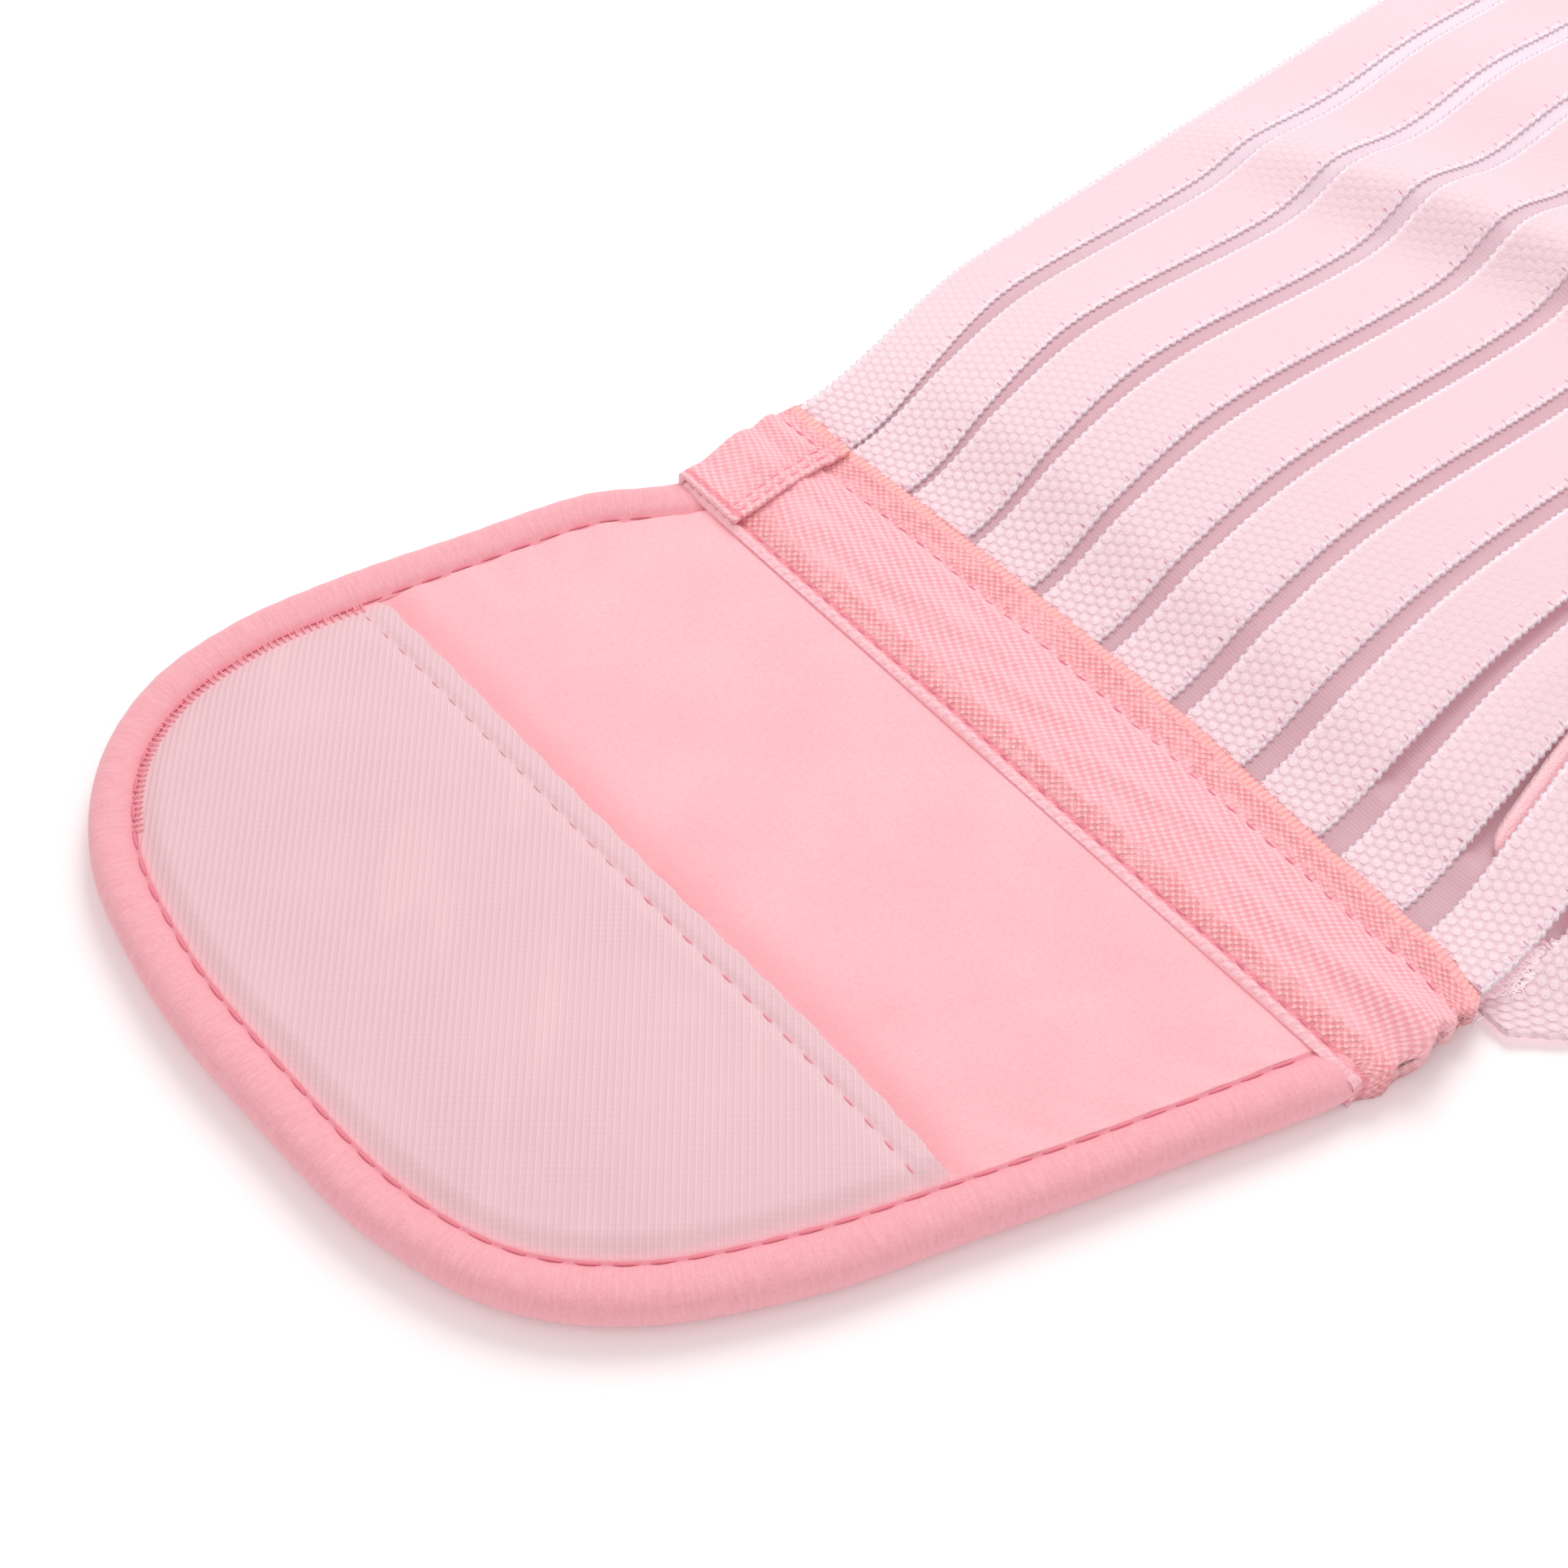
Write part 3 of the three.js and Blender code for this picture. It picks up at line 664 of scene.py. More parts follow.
def row_y(run, row):
    rows = ROWS_MIDDLE - row
    bow = WEB_BOW * (rows / (ROWS_MIDDLE - 1)) ** 2
    return rows * BAND_PITCH - (bow + WEB_SHIFT) * (1 - smooth(from_tape(run) / (BAND_WIDTH * 4)))


def swell_height(swell, run, row):
    at, slant, rise, fall, far, middle, near = swell
    share = 2 * (row - 1) / (BAND_COUNT - 1)
    height = np.where(share < 1, mix(far, middle, smooth(share)), mix(middle, near, smooth(share - 1)))
    droop = np.sin(math.pi / 2 * np.clip((row - 0.5) / DROOP_ROWS, 0, 1))
    distance = run - (at + slant * row) * BAND_RUN
    reach = np.where(distance < 0, rise, fall) * BAND_RUN
    return height * droop * BAND_WIDTH * np.exp(-1.6 * (distance / reach) ** 2)


def over_strap(run, row):
    across = smooth((row - (STRAP_ROW - 1)) / 0.5)
    along = smooth(run / STRAP_START) * (1 - smooth((run - STRAP_START - STRAP_LENGTH) / (BAND_WIDTH * 3)))
    return (STRAP_THICK + CLEAR * 2) * across * along


def web_height(run, row):
    away = from_tape(run)
    in_tape = BAND_LEVEL + arch_at(row_y(run, row))
    swells = sum(swell_height(swell, run, row) for swell in SWELLS)
    lying = BAND_THICK / 2 + over_strap(run, row)
    return mix(in_tape, lying, smooth(away / (BAND_WIDTH * 4))) + swells * smooth(away / (BAND_WIDTH * 1.6))


def near_spread(run):
    return smooth((np.minimum(run, BAND_RUN - run) + NEAR_SEWN) / (NEAR_SEWN + BAND_WIDTH * 0.4))


def band_layer(row, run, across):
    """Y and Z of a band's middle layer, at a run and a distance across it."""
    if row == BAND_COUNT:
        away = np.minimum(run, BAND_RUN - run)
        roll = NEAR_ROLL * smooth(away / (BAND_WIDTH * 0.9)) * (1 - 0.75 * smooth(away / (BAND_WIDTH * 6)))
        spread = near_spread(run)
        wide = mix(NEAR_GATHER / BAND_WIDTH, 1, spread)
        tuck = NEAR_TUCK * (1 - smooth(away / (BAND_WIDTH * 4))) + NEAR_TUCK * (1 - spread)
        level = mix(BAND_THICK / 2, web_height(run, row), smooth(away / (BAND_WIDTH * 3)))
        rest = np.maximum(level, BAND_THICK / 2 + BAND_WIDTH / 2 * np.sin(roll))
        return row_y(run, row) + tuck + across * wide * np.cos(roll), rest + across * wide * np.sin(roll)
    fall = web_height(run, row + 0.5) - web_height(run, row - 0.5)
    lean = np.cos(np.arctan2(fall, BAND_PITCH))
    return row_y(run, row) + across * lean, web_height(run, row - across / BAND_PITCH)


def knit_height(along, across):
    total = sum(np.cos(2 * math.pi / KNIT_ALONG * (x * along + y * across)) for x, y in KNIT_WAVES)
    return np.clip((total + 1.5) / 4.5, 0, 1) ** 0.3


FINE_STEP = 0.38
FINE_RUN = 185.0
COARSE_STEP = 2.8
BAND_TOP_POINTS = 25
BAND_UNDER_POINTS = 5
LOOP_HEIGHT = 0.4
BORDER = 4.3  # where a band's flat border starts, from its middle
BAND_SPREAD = 0.5  # how far soft edges reach past the band's stated width
PICOT = 0.22
PICOT_PITCH = 1.3
UNDERSIDE = -1.0  # marks the sides and the underside of a band for its finish
SEWN_SHOWN = 3.2  # how far a band goes on inside a tape, past the tape's own edge


def make_band(row):
    inside = SEWN_SHOWN if row < BAND_COUNT else NEAR_SEWN * 0.6
    runs = np.concatenate([
        np.arange(-inside, FINE_RUN, FINE_STEP),
        np.arange(FINE_RUN, BAND_RUN + inside, COARSE_STEP),
        [BAND_RUN + inside],
    ])[:, None]
    top = np.linspace(-1, 1, BAND_TOP_POINTS)
    under = np.linspace(0.85, -0.85, BAND_UNDER_POINTS)
    share = np.concatenate([top, under])[None, :]
    side = np.concatenate([np.ones(BAND_TOP_POINTS), -np.ones(BAND_UNDER_POINTS)])[None, :]
    picot = PICOT * np.cos(2 * math.pi * runs / PICOT_PITCH + row) * np.abs(share) ** 8
    spread = BAND_SPREAD if row < BAND_COUNT else 0
    across = share * (BAND_WIDTH / 2 + spread - PICOT / 2 + picot)
    y, z = band_layer(row, runs, across)
    narrowed = mix(NEAR_GATHER / BAND_WIDTH, 1, near_spread(runs)) if row == BAND_COUNT else 1
    stretched = 0.16 + 0.84 * (1 - smooth((runs + 6) / 62)) + 0.3 * bell(runs - 82 - row * 3, 9)
    border = 1 - smooth((np.abs(across) - BORDER) / 0.8)
    loops = knit_height(runs, across * narrowed) * LOOP_HEIGHT * border * stretched
    loops = loops * (1 - smooth((runs - FINE_RUN + 12) / 10))
    rounded = np.where(side > 0, 1 - np.abs(share) ** 12, 1 - np.abs(share) ** 2)
    lift = side * (BAND_THICK / 2 - 0.1) * rounded + np.where(side > 0, loops - 0.1, 0) * rounded
    lift = lift + 0.3 * np.abs(share) ** 6
    points = as_points(runs + TAPE_WIDTH, y, z + lift)
    cloth = as_points(runs, across * narrowed, np.where(side > 0, stretched, UNDERSIDE))
    faces = loft_faces(len(runs), share.size)
    band = add_piece(f"knitted_band_{row}", points, faces, cloth, "elastic", [f"band_{row}"])


SHEER_VISIBLE = 0.3
SHEER_OVERLAP = 0.45


def make_sheer_strip(row):
    middle_at_tape = float((row_y(0.0, row) + row_y(0.0, row + 1)) / 2)
    last = row == BAND_COUNT - 1
    start = 9.0 if last else (float(tape_share(1, middle_at_tape)) - 1) * TAPE_WIDTH - 0.8
    near_runs = np.arange(start, FINE_RUN, 1.5)
    far_runs = np.arange(FINE_RUN, BAND_RUN - start, 4.0)
    runs = np.concatenate([near_runs, far_runs])[:, None]
    upper_y, upper_z = band_layer(row, runs, -BAND_WIDTH / 2 + SHEER_OVERLAP)
    lower_y, lower_z = band_layer(row + 1, runs, BAND_WIDTH / 2 - SHEER_OVERLAP)
    share = np.array([0, 0.2, 0.4, 0.6, 0.8, 1, 1, 0.6, 0.3, 0])[None, :]
    side = np.array([1, 1, 1, 1, 1, 1, -1, -1, -1, -1])[None, :]
    y = mix(lower_y, upper_y, share)
    lowered = 1.5 * smooth((runs - STRAP_START + 3) / 4) if abs(row + 0.5 - STRAP_ROW) < 1.5 else 0
    sag = 0.25 - 0.45 * np.sin(math.pi * share) - lowered
    z = np.maximum(0.2, mix(lower_z, upper_z, share) + sag) + side * SHEER_VISIBLE / 2
    x = runs + TAPE_WIDTH
    points = as_points(x, y, z)
    cloth = as_points(x, y, smooth((runs - 10 * row) / 110) * smooth((8 - row) / 6))
    faces = loft_faces(len(runs), share.size)
    add_piece(f"sheer_join_{row}", points, faces, cloth, "sheer", [f"sheer_strip_{row}"])


def make_strap():
    half = STRAP_WIDTH / 2
    round_runs = STRAP_START + half * (1 - np.cos(np.linspace(0.04, math.pi / 2, 24)))
    straight_runs = np.arange(STRAP_START + half + 2, STRAP_START + STRAP_LENGTH, 3.0)
    runs = np.concatenate([round_runs, straight_runs])[:, None]
    halves = half * (1 - np.maximum(0, 1 - (runs - STRAP_START) / half) ** 5) ** 0.2
    share = np.concatenate([np.linspace(-1, 1, 17), np.linspace(0.8, -0.8, 7)])[None, :]
    side = np.concatenate([np.ones(17), -np.ones(7)])[None, :]
    across = share * halves
    drop = BAND_THICK / 2 + STRAP_THICK / 2 + CLEAR * 2
    high = np.maximum(STRAP_THICK / 2, web_height(runs, STRAP_ROW) - drop)
    z = mix(STRAP_THICK / 2, high, (across + half) / STRAP_WIDTH)
    rounded = 1 - np.abs(share) ** 5
    raised = 2.2 * smooth((across - half + 3.4) / 2.2) * smooth((runs - STRAP_START + 1) / 2)
    z = z + side * STRAP_THICK / 2 * rounded + raised
    y = row_y(runs, STRAP_ROW) - half + across + np.minimum(0.9, 0.055 * (runs - STRAP_START) - 0.15)
    x = runs + TAPE_WIDTH
    points = as_points(x, y, z)
    cloth = as_points(x, y, 0.0)
    faces = loft_faces(len(runs), share.size)
    add_piece("round_ended_strap", points, faces, cloth, "strap", ["under_strap"])


# Woven tapes
STITCH_PITCH = 3.4
SEAM_ROW = 1.9
RIDGE_ROW = 17.9
EDGE_RIB = 0.85
TAPE_STEP = 0.28
TAPE_TOP_POINTS = 62
END_PRESS = 1.1  # how far a tape's lower end is pressed on the bands
END_SHUT = 1.4  # how far the slot of the bands closes there
END_CLOTH = 2.0  # how far the weave goes on over a tape's closed end


def tape_width(y):
    return TAPE_WIDTH * tape_share(1, y)


def tape_spread(x, y):
    return x + (tape_width(y) - TAPE_WIDTH) * smooth((x - TAPE_WEB_OUT) / (TAPE_WIDTH - TAPE_WEB_OUT))


def tape_lift(x, y):
    return arch_at(y) * smooth((x - TAPE_WEB_IN) / (TAPE_WEB_OUT - TAPE_WEB_IN + 1))


def tape_under(x):
    """Height of the upper layer's underside across the tape."""
    steps = [TAPE_WEB_OUT, TAPE_RIDGE, TAPE_RIDGE + 1.5, TAPE_WIDTH]
    heights = [TAB_SLOT, mix(BAND_SLOT, TAB_SLOT, 0.8), mix(BAND_SLOT, TAB_SLOT, 0.45), BAND_SLOT]
    return np.interp(x, steps, heights)


def tape_relief(x, y):
    pucker = np.cos(2 * math.pi * y / STITCH_PITCH)
    hem = (0.25 + 0.2 * np.cos(2 * math.pi * (y + x * 0.5) / 1.65)) * bell(x - 0.8, 0.5)
    seam = -0.36 * bell(x - SEAM_ROW, 0.45) * (1 + 0.3 * pucker)
    body = 0.1 * bell(x - 4.6, 1.6) + (0.85 + 0.18 * np.sin(y / 9 + 1)) * bell(x - 11.8, 3.9)
    ridge = 0.3 * bell(x - RIDGE_ROW + 1.3, 0.9) - 0.5 * bell(x - RIDGE_ROW, 0.55) * (1 + 0.3 * pucker)
    over_bands = 0.2 * bell(x - 21, 2.4) * np.cos(2 * math.pi * y / BAND_PITCH)
    ribs = 0.16 * np.cos(2 * math.pi * y / EDGE_RIB) * smooth((x - TAPE_WIDTH + 2.2) / 0.7)
    soft = 0.14 * np.sin(y / 8.3 + x / 3.1) + 0.09 * np.sin(y / 3.9 - x / 2.3)
    drawn = 0.22 * np.sin(2 * math.pi * (x + y * 0.2 + 1.4 * np.sin(y / 13)) / 5.2) * bell(x - 11, 4.5)
    return hem + seam + body + ridge + over_bands + ribs + soft + drawn


def end_press(y):
    """How far the cloth over the bands is pressed down, near a tape's lower end."""
    return END_PRESS * smooth((-y - 52) / 9)


def tape_top(x, y):
    """Upper surface of a tape at a place across it, before it is spread, and along it."""
    pressed = end_press(y) * smooth((x - 12) / 8)
    return tape_under(x) + TAPE_SHEET + tape_relief(x, y) + tape_lift(x, y) - pressed


def open_weave(x):
    """Share of the cloth that shows as open dark weave, beside the two rows of stitches."""
    beside_seam = 1.0 * bell(x - 3.4, 2.0) * smooth((x - 1.6) / 0.8)
    beside_ridge = 0.85 * smooth((x - RIDGE_ROW) / 1.2) * (1 - smooth((x - 22.0) / 0.7))
    return beside_seam + beside_ridge


def make_tape(end, mirrored):
    step = TAPE_STEP if not mirrored else TAPE_STEP * 2
    ys = np.arange(-TAPE_HALF, TAPE_END, step)[:, None]
    top_x = np.linspace(TAPE_WIDTH - 0.1, 0.15, TAPE_TOP_POINTS)
    lower = [(x, 0) for x in np.linspace(0, TAPE_WIDTH, 25)] + [(TAPE_WIDTH, TAPE_SHEET)]
    lower += [(TAPE_WEB_OUT, TAPE_SHEET), (TAPE_WEB_OUT, TAB_SLOT), (TAPE_WIDTH - 0.5, BAND_SLOT)]
    lower += [(TAPE_WIDTH + 0.05, BAND_SLOT + 0.25), (TAPE_WIDTH + 0.1, BAND_SLOT + 0.65)]
    after = [(0.0, TAB_SLOT + 0.7), (0.1, TAB_SLOT + 0.35), (0.4, TAB_SLOT), (TAPE_WEB_IN, TAB_SLOT)]
    after += [(TAPE_WEB_IN, TAPE_SHEET), (0, TAPE_SHEET)]
    xs = np.concatenate([[p[0] for p in lower], top_x, [p[0] for p in after]])[None, :]
    before = len(lower)
    zs = np.zeros((len(ys), xs.size))
    for i, (x, z) in enumerate(lower):
        zs[:, i] = z + tape_lift(x, ys[:, 0])
    pressed = end_press(ys[:, 0])
    for i in (before - 3, before - 2, before - 1):
        zs[:, i] -= pressed
    zs[:, before:before + TAPE_TOP_POINTS] = tape_top(top_x[None, :], ys)
    for i, (x, z) in enumerate(after):
        zs[:, before + TAPE_TOP_POINTS + i] = z + tape_lift(x, ys[:, 0])
    rounded = 0.3 * bell(top_x - TAPE_WIDTH, 0.35) + 0.3 * bell(top_x, 0.35)
    zs[:, before:before + TAPE_TOP_POINTS] -= rounded[None, :]
    closing = smooth((-ys - TAPE_HALF + 2.4) / 1.4)
    moved = xs + np.zeros_like(zs)
    ends = [(before - 5, TAPE_WIDTH, TAPE_SHEET + 0.3), (before - 4, TAPE_WIDTH, BAND_SLOT - END_SHUT)]
    ends += [(xs.size - 3, 0, TAB_SLOT - 0.1), (xs.size - 2, 0, TAPE_SHEET + 0.1)]
    for i, side, level in ends:
        moved[:, i] = mix(moved[:, i], side, closing[:, 0])
        zs[:, i] = mix(zs[:, i], level + tape_lift(side, ys[:, 0]), closing[:, 0])
    x = tape_spread(moved, ys)
    shorter = TAPE_SLANT * (1 - smooth(moved / TAPE_WEB_OUT)) + 0.5 * np.sin(moved * 1.05 + 0.6)
    y = ys + shorter * smooth((-ys - TAPE_HALF + 6) / 6)
    lip = np.clip((-ys - TAPE_HALF + 1.1) / 1.1, 0, 1)
    upper = zs > (TAPE_SHEET + TAB_SLOT) / 2 + tape_lift(xs, ys)
    zs = zs - upper * 0.75 * (1 - np.sqrt(1 - lip ** 2 * 0.98))
    y = y + np.zeros_like(x)
    end_middle = (tape_top(moved[0], ys[0]) + tape_lift(moved[0], ys[0])) / 2
    x, y, ys = (np.vstack([rows[:1], rows]) for rows in (x, y, ys))
    zs = np.vstack([end_middle[None, :], zs])
    points = as_points(x, y, zs)
    cloth = as_points(xs, ys, open_weave(xs))
    cloth[:xs.size, 1] -= END_CLOTH
    faces = loft_faces(len(ys), xs.size)
    add_piece(f"{end}_woven_tape", points, faces, cloth, "canvas", [f"{end}_tape"], mirrored)


FOLD_ROWS = (1.2, 2.5)  # rows of stitches, from the flap's own edge
FOLD_COLUMN = 19.6
FOLD_START = TAPE_END - FOLD_REACH


def fold_top(x, y):
    humps = 0.75 * bell(x - 10.5, 2.8) + 0.65 * bell(x - 17.5, 2.2)
    humps = humps - 0.35 * bell(x - 4.6, 1.6) - 0.3 * bell(x - 14, 1.2)
    flat = tape_under(x) + TAPE_SHEET * 2 + CLEAR + 0.25 * bell(x - 12, 5)
    sewn = sum(-0.3 * bell(y - FOLD_START - row, 0.35) for row in FOLD_ROWS)
    column = -0.3 * bell(x - FOLD_COLUMN, 0.4)
    return flat + humps * smooth((y - FOLD_START) / 6) + sewn + column


def make_fold(end, mirrored):
    xs = np.linspace(0.7, TAPE_WIDTH - 0.2, 78)[:, None]
    edge = TAPE_END + CLEAR
    jag = 0.12 * np.sin(xs * 7.1) + 0.1 * np.sin(xs * 3.3)
    over = np.linspace(FOLD_START, edge - 0.2, 34)
    turn = np.linspace(0, math.pi / 2, 6)
    down = np.linspace(0.8, 0.06, 7)
    columns = []
    for y in over:
        slack = smooth((FOLD_START + 2 - y) / 2)
        columns.append((y + jag * slack + 0 * xs, fold_top(xs, y)))
    lip = fold_top(xs, edge)
    for angle in turn[1:]:
        reached = edge + TAPE_SHEET * np.sin(angle) + 0 * xs
        columns.append((reached, lip - TAPE_SHEET * 0.9 * (1 - np.cos(angle))))
    for share in down:
        reached = edge + TAPE_SHEET + 0 * xs + 0.12 * np.sin(xs * 1.7)
        columns.append((reached, (lip - 0.9) * share))
    for share in (0.06, 0.5, 0.8):
        columns.append((edge + 0.1 + 0 * xs, (lip - 0.9) * share))
    for y in np.linspace(edge - 0.2, FOLD_START + 0.1, 5):
        columns.append((y + 0 * xs, fold_top(xs, y) - TAPE_SHEET * 0.8))
    y = np.concatenate([c[0] for c in columns], axis=1)
    z = np.concatenate([c[1] for c in columns], axis=1)
    x = tape_spread(xs, TAPE_END) + 0.16 * np.sin(y * 5.3) * smooth((xs - TAPE_WIDTH + 1.2) / 1.0)
    points = as_points(x, y, z)
    share = smooth((xs - 20.3) / 0.8) * 0.4 + 0.12 + 0.2 * bell(y - FOLD_START - 4.2, 1.2)
    cloth = as_points(xs, y + z * 0.7, share)
    faces = loft_faces(len(xs), y.shape[1])
    add_piece(f"{end}_folded_end", points, faces, cloth, "canvas", [f"{end}_tape_fold"], mirrored)


# Padded tabs
def spline(points, steps):
    """Even points along a centripetal Catmull-Rom curve through points."""
    p = np.array(points, dtype=float)
    p = np.vstack([2 * p[0] - p[1], p, 2 * p[-1] - p[-2]])
    found = []
    for i in range(1, len(p) - 2):
        a, b, c, d = p[i - 1:i + 3]
        t = np.cumsum([0] + [np.linalg.norm(q - r) ** 0.5 for q, r in ((b, a), (c, b), (d, c))])
        s = np.linspace(t[1], t[2], 40, endpoint=False)[:, None]
        a1 = (t[1] - s) / (t[1] - t[0]) * a + (s - t[0]) / (t[1] - t[0]) * b
        a2 = (t[2] - s) / (t[2] - t[1]) * b + (s - t[1]) / (t[2] - t[1]) * c
        a3 = (t[3] - s) / (t[3] - t[2]) * c + (s - t[2]) / (t[3] - t[2]) * d
        b1 = (t[2] - s) / (t[2] - t[0]) * a1 + (s - t[0]) / (t[2] - t[0]) * a2
        b2 = (t[3] - s) / (t[3] - t[1]) * a2 + (s - t[1]) / (t[3] - t[1]) * a3
        found.append((t[2] - s) / (t[2] - t[1]) * b1 + (s - t[1]) / (t[2] - t[1]) * b2)
    found = np.vstack(found + [p[-2][None, :]])
    length = np.concatenate([[0], np.cumsum(np.linalg.norm(np.diff(found, axis=0), axis=1))])
    even = np.linspace(0, length[-1], steps)
    return np.stack([np.interp(even, length, found[:, k]) for k in range(2)], axis=1)


OUTLINE_STEPS = 330


def tab_outline():
    """Points of a tab's outline, their unit normals that face out, and the distance along it."""
    rim = [(-out * TAB_DEPTH, up * TAB_HALF) for out, up in TAB_OUTLINE]
    sewn = [(TAB_TUCK, TAB_SEWN_HALF), (0.8, TAB_SEWN_HALF + 2.0)]
    line = spline([*sewn, *rim, (TAB_TUCK, rim[-1][1])], OUTLINE_STEPS)
    along = np.gradient(line, axis=0)
    for _ in range(6):
        along[1:-1] = (along[:-2] + along[1:-1] * 2 + along[2:]) / 4
    along /= np.linalg.norm(along, axis=1)[:, None]
    normal = np.stack([along[:, 1], -along[:, 0]], axis=1)
    distance = np.concatenate([[0], np.cumsum(np.linalg.norm(np.diff(line, axis=0), axis=1))])
    return line, normal, distance


LINE, NORMAL, DISTANCE = tab_outline()


PINCH_START = 5.0
PINCH_END = -2.0


def pinch(x, z):
    near = smooth((x + PINCH_START) / (PINCH_START - PINCH_END))
    return z * mix(1, TAB_SHOWN_PINCH, near) + (TAPE_SHEET + CLEAR) * near


def inset(distance, z):
    """The outline moved in by a distance, at a height that the seam pinches."""
    flat = LINE - NORMAL * distance
    return np.column_stack([flat, pinch(flat[:, 0], z)])


TAB_MIDDLE = np.array((-46.0, 12.0))
PATCH_DIP = -0.2
PUCKER = 7.5
SHOWN_BINDING = 6.7  # width of a binding seen from above
GROOVE = 6.1  # where it is sewn down


def pad_height(x, y, inward, distance):
    """Upper surface of a pad: crowned, sewn down at its binding, with soft creases."""
    crown = 0.6 * smooth(inward / 16) + 0.05 * bell(inward, 1.4)
    strayed = 1.7 * np.sin(distance / 31)
    puckers = 0.16 * bell(inward - 2.0, 2.8) * np.sin(2 * math.pi * distance / PUCKER + strayed)
    soft = 0.12 * np.sin(x / 9.0 + y / 17) + 0.1 * np.sin(y / 11.0 - x / 23 + 1.3)
    crease = -0.22 * bell(y + 0.62 * x + 42 + 2 * np.sin(x / 12), 1.6)
    crease = crease * smooth((-x - 4) / 10) * smooth((44 + x) / 10)
    under_patch = -0.35 * smooth((-x - PATCH_EDGE - 1.5) / 1.5)
    under_patch = under_patch + PATCH_DIP * bell(x - patch_edge(y) - 0.6, 3.2)
    return TAB_FACE + crown + puckers + under_patch + (soft + crease) * smooth(inward / 10)


def make_pad(end, mirrored):
    shoulder = SHOWN_BINDING - 0.25
    low, high = BINDING_WALL + CLEAR, BINDING_HEIGHT - BINDING_WALL - CLEAR
    rings = [inset(shoulder, low), inset(RIM_INSET, low), inset(RIM_INSET, high), inset(shoulder, high)]
    edge = LINE - NORMAL * shoulder
    shares = np.concatenate([[1, 0.995, 0.985, 0.97, 0.95, 0.925], np.linspace(0.89, 0.05, 26)])
    for share in shares:
        flat = TAB_MIDDLE + (edge - TAB_MIDDLE) * share
        inward = np.linalg.norm(edge - flat, axis=1)
        z = pad_height(flat[:, 0], flat[:, 1], inward, DISTANCE)
        rings.append(np.column_stack([flat, pinch(flat[:, 0], z)]))
    under = [inset(shoulder, 0.0)]
    for share in (0.85, 0.5, 0.12):
        flat = TAB_MIDDLE + (edge - TAB_MIDDLE) * share
        under.append(np.column_stack([flat, pinch(flat[:, 0], 0.0)]))
    rings = under[::-1] + rings
    points = np.vstack(rings)
    beside = points[:, 0] - patch_edge(points[:, 1])
    # Painted shade beside the patch's straight edge, with a faint wider spread; none on the plain end
    streak_and_shade = 0 if mirrored else bell(beside - 0.8, 2.8) * smooth(beside / 0.6) + 0.25 * bell(beside - 2, 11)
    cloth = np.column_stack([points[:, :2], streak_and_shade + np.zeros(len(points))])
    faces = loft_faces(len(rings), OUTLINE_STEPS)
    replaced = [f"{end}_pad"]
    pad = add_piece(f"{end}_padded_face", points, faces, cloth, "brushed", replaced, mirrored)


def make_binding(end, mirrored):
    mouth = RIM_INSET - CLEAR
    roof = BINDING_HEIGHT - BINDING_WALL
    section = [
        (SHOWN_BINDING, 0.0), (SHOWN_BINDING, 1.0), (mouth, BINDING_WALL), (mouth, roof),
        (SHOWN_BINDING - 0.2, roof), (SHOWN_BINDING, 4.75), (SHOWN_BINDING - 0.15, 5.0),
        (GROOVE + 0.3, 5.05), (GROOVE, 4.8), (GROOVE - 0.5, 5.3), (GROOVE - 1.4, 5.75),
        (3.3, 6.05), (2.2, 6.0), (1.5, 5.75), (0.7, 5.1), (0.18, 4.1),
        (0.0, 3.0), (0.15, 1.9), (0.6, 0.9), (1.3, 0.3), (2.4, 0.0),
    ]
    rings = []
    for depth, height in section:
        above = smooth((height - 4.4) / 0.8)
        pucker = np.sin(2 * math.pi * DISTANCE / 4.2 + np.sin(DISTANCE / 9)) * 0.05 * above
        waver = 0.2 * np.sin(DISTANCE / 13.0) * smooth(1 - depth / 3.5) + 0.05 * np.sin(DISTANCE / 4.7)
        flat = LINE - NORMAL * (depth + waver * (depth < SHOWN_BINDING - 1))[:, None]
        rings.append(np.column_stack([flat, pinch(flat[:, 0], height + pucker)]))
    points = np.stack(rings, axis=1).reshape(-1, 3)
    depths = np.array([place[0] + place[1] for place in section])
    # Where the finish paints shade in the sewn groove
    sewn = np.array([bell(place[0] - GROOVE - 0.1, 0.6) * (place[1] > 4.5) for place in section])
    cloth = as_points(DISTANCE[:, None], depths[None, :], sewn[None, :])
    faces = loft_faces(OUTLINE_STEPS, len(section))
    replaced = [f"{end}_binding"]
    add_piece(f"{end}_rolled_binding", points, faces, cloth, "binding", replaced, mirrored)


def patch_edge(y):
    """The patch's straight cut is a little bent, as it was sewn."""
    return -PATCH_EDGE + 0.9 * np.sin((y + 30) / 34) - 0.5 * np.sin(y / 15)


PATCH_SEAM = 3.2
PATCH_TICKS = (52.0, 108.0)  # where the edge stitches show, as distances along the outline
TICK_HEIGHTS = (5.28, 5.3)  # of their inner and outer ends
PATCH_WEAVE = 49.0  # degrees that its rows of hooks are turned
PATCH_MIDDLE = np.array((-68.0, 16.0))
PATCH_SHOWN = 0.55
PATCH_LOW = 4.95  # height where the patch goes under the binding
PATCH_RIM = SHOWN_BINDING - 0.3


def rim_distance(flat):
    """Distance of points from the ring where the patch goes under the binding."""
    ring = LINE - NORMAL * PATCH_RIM
    return np.min(np.linalg.norm(flat[:, None, :] - ring[None, :, :], axis=2), axis=1)


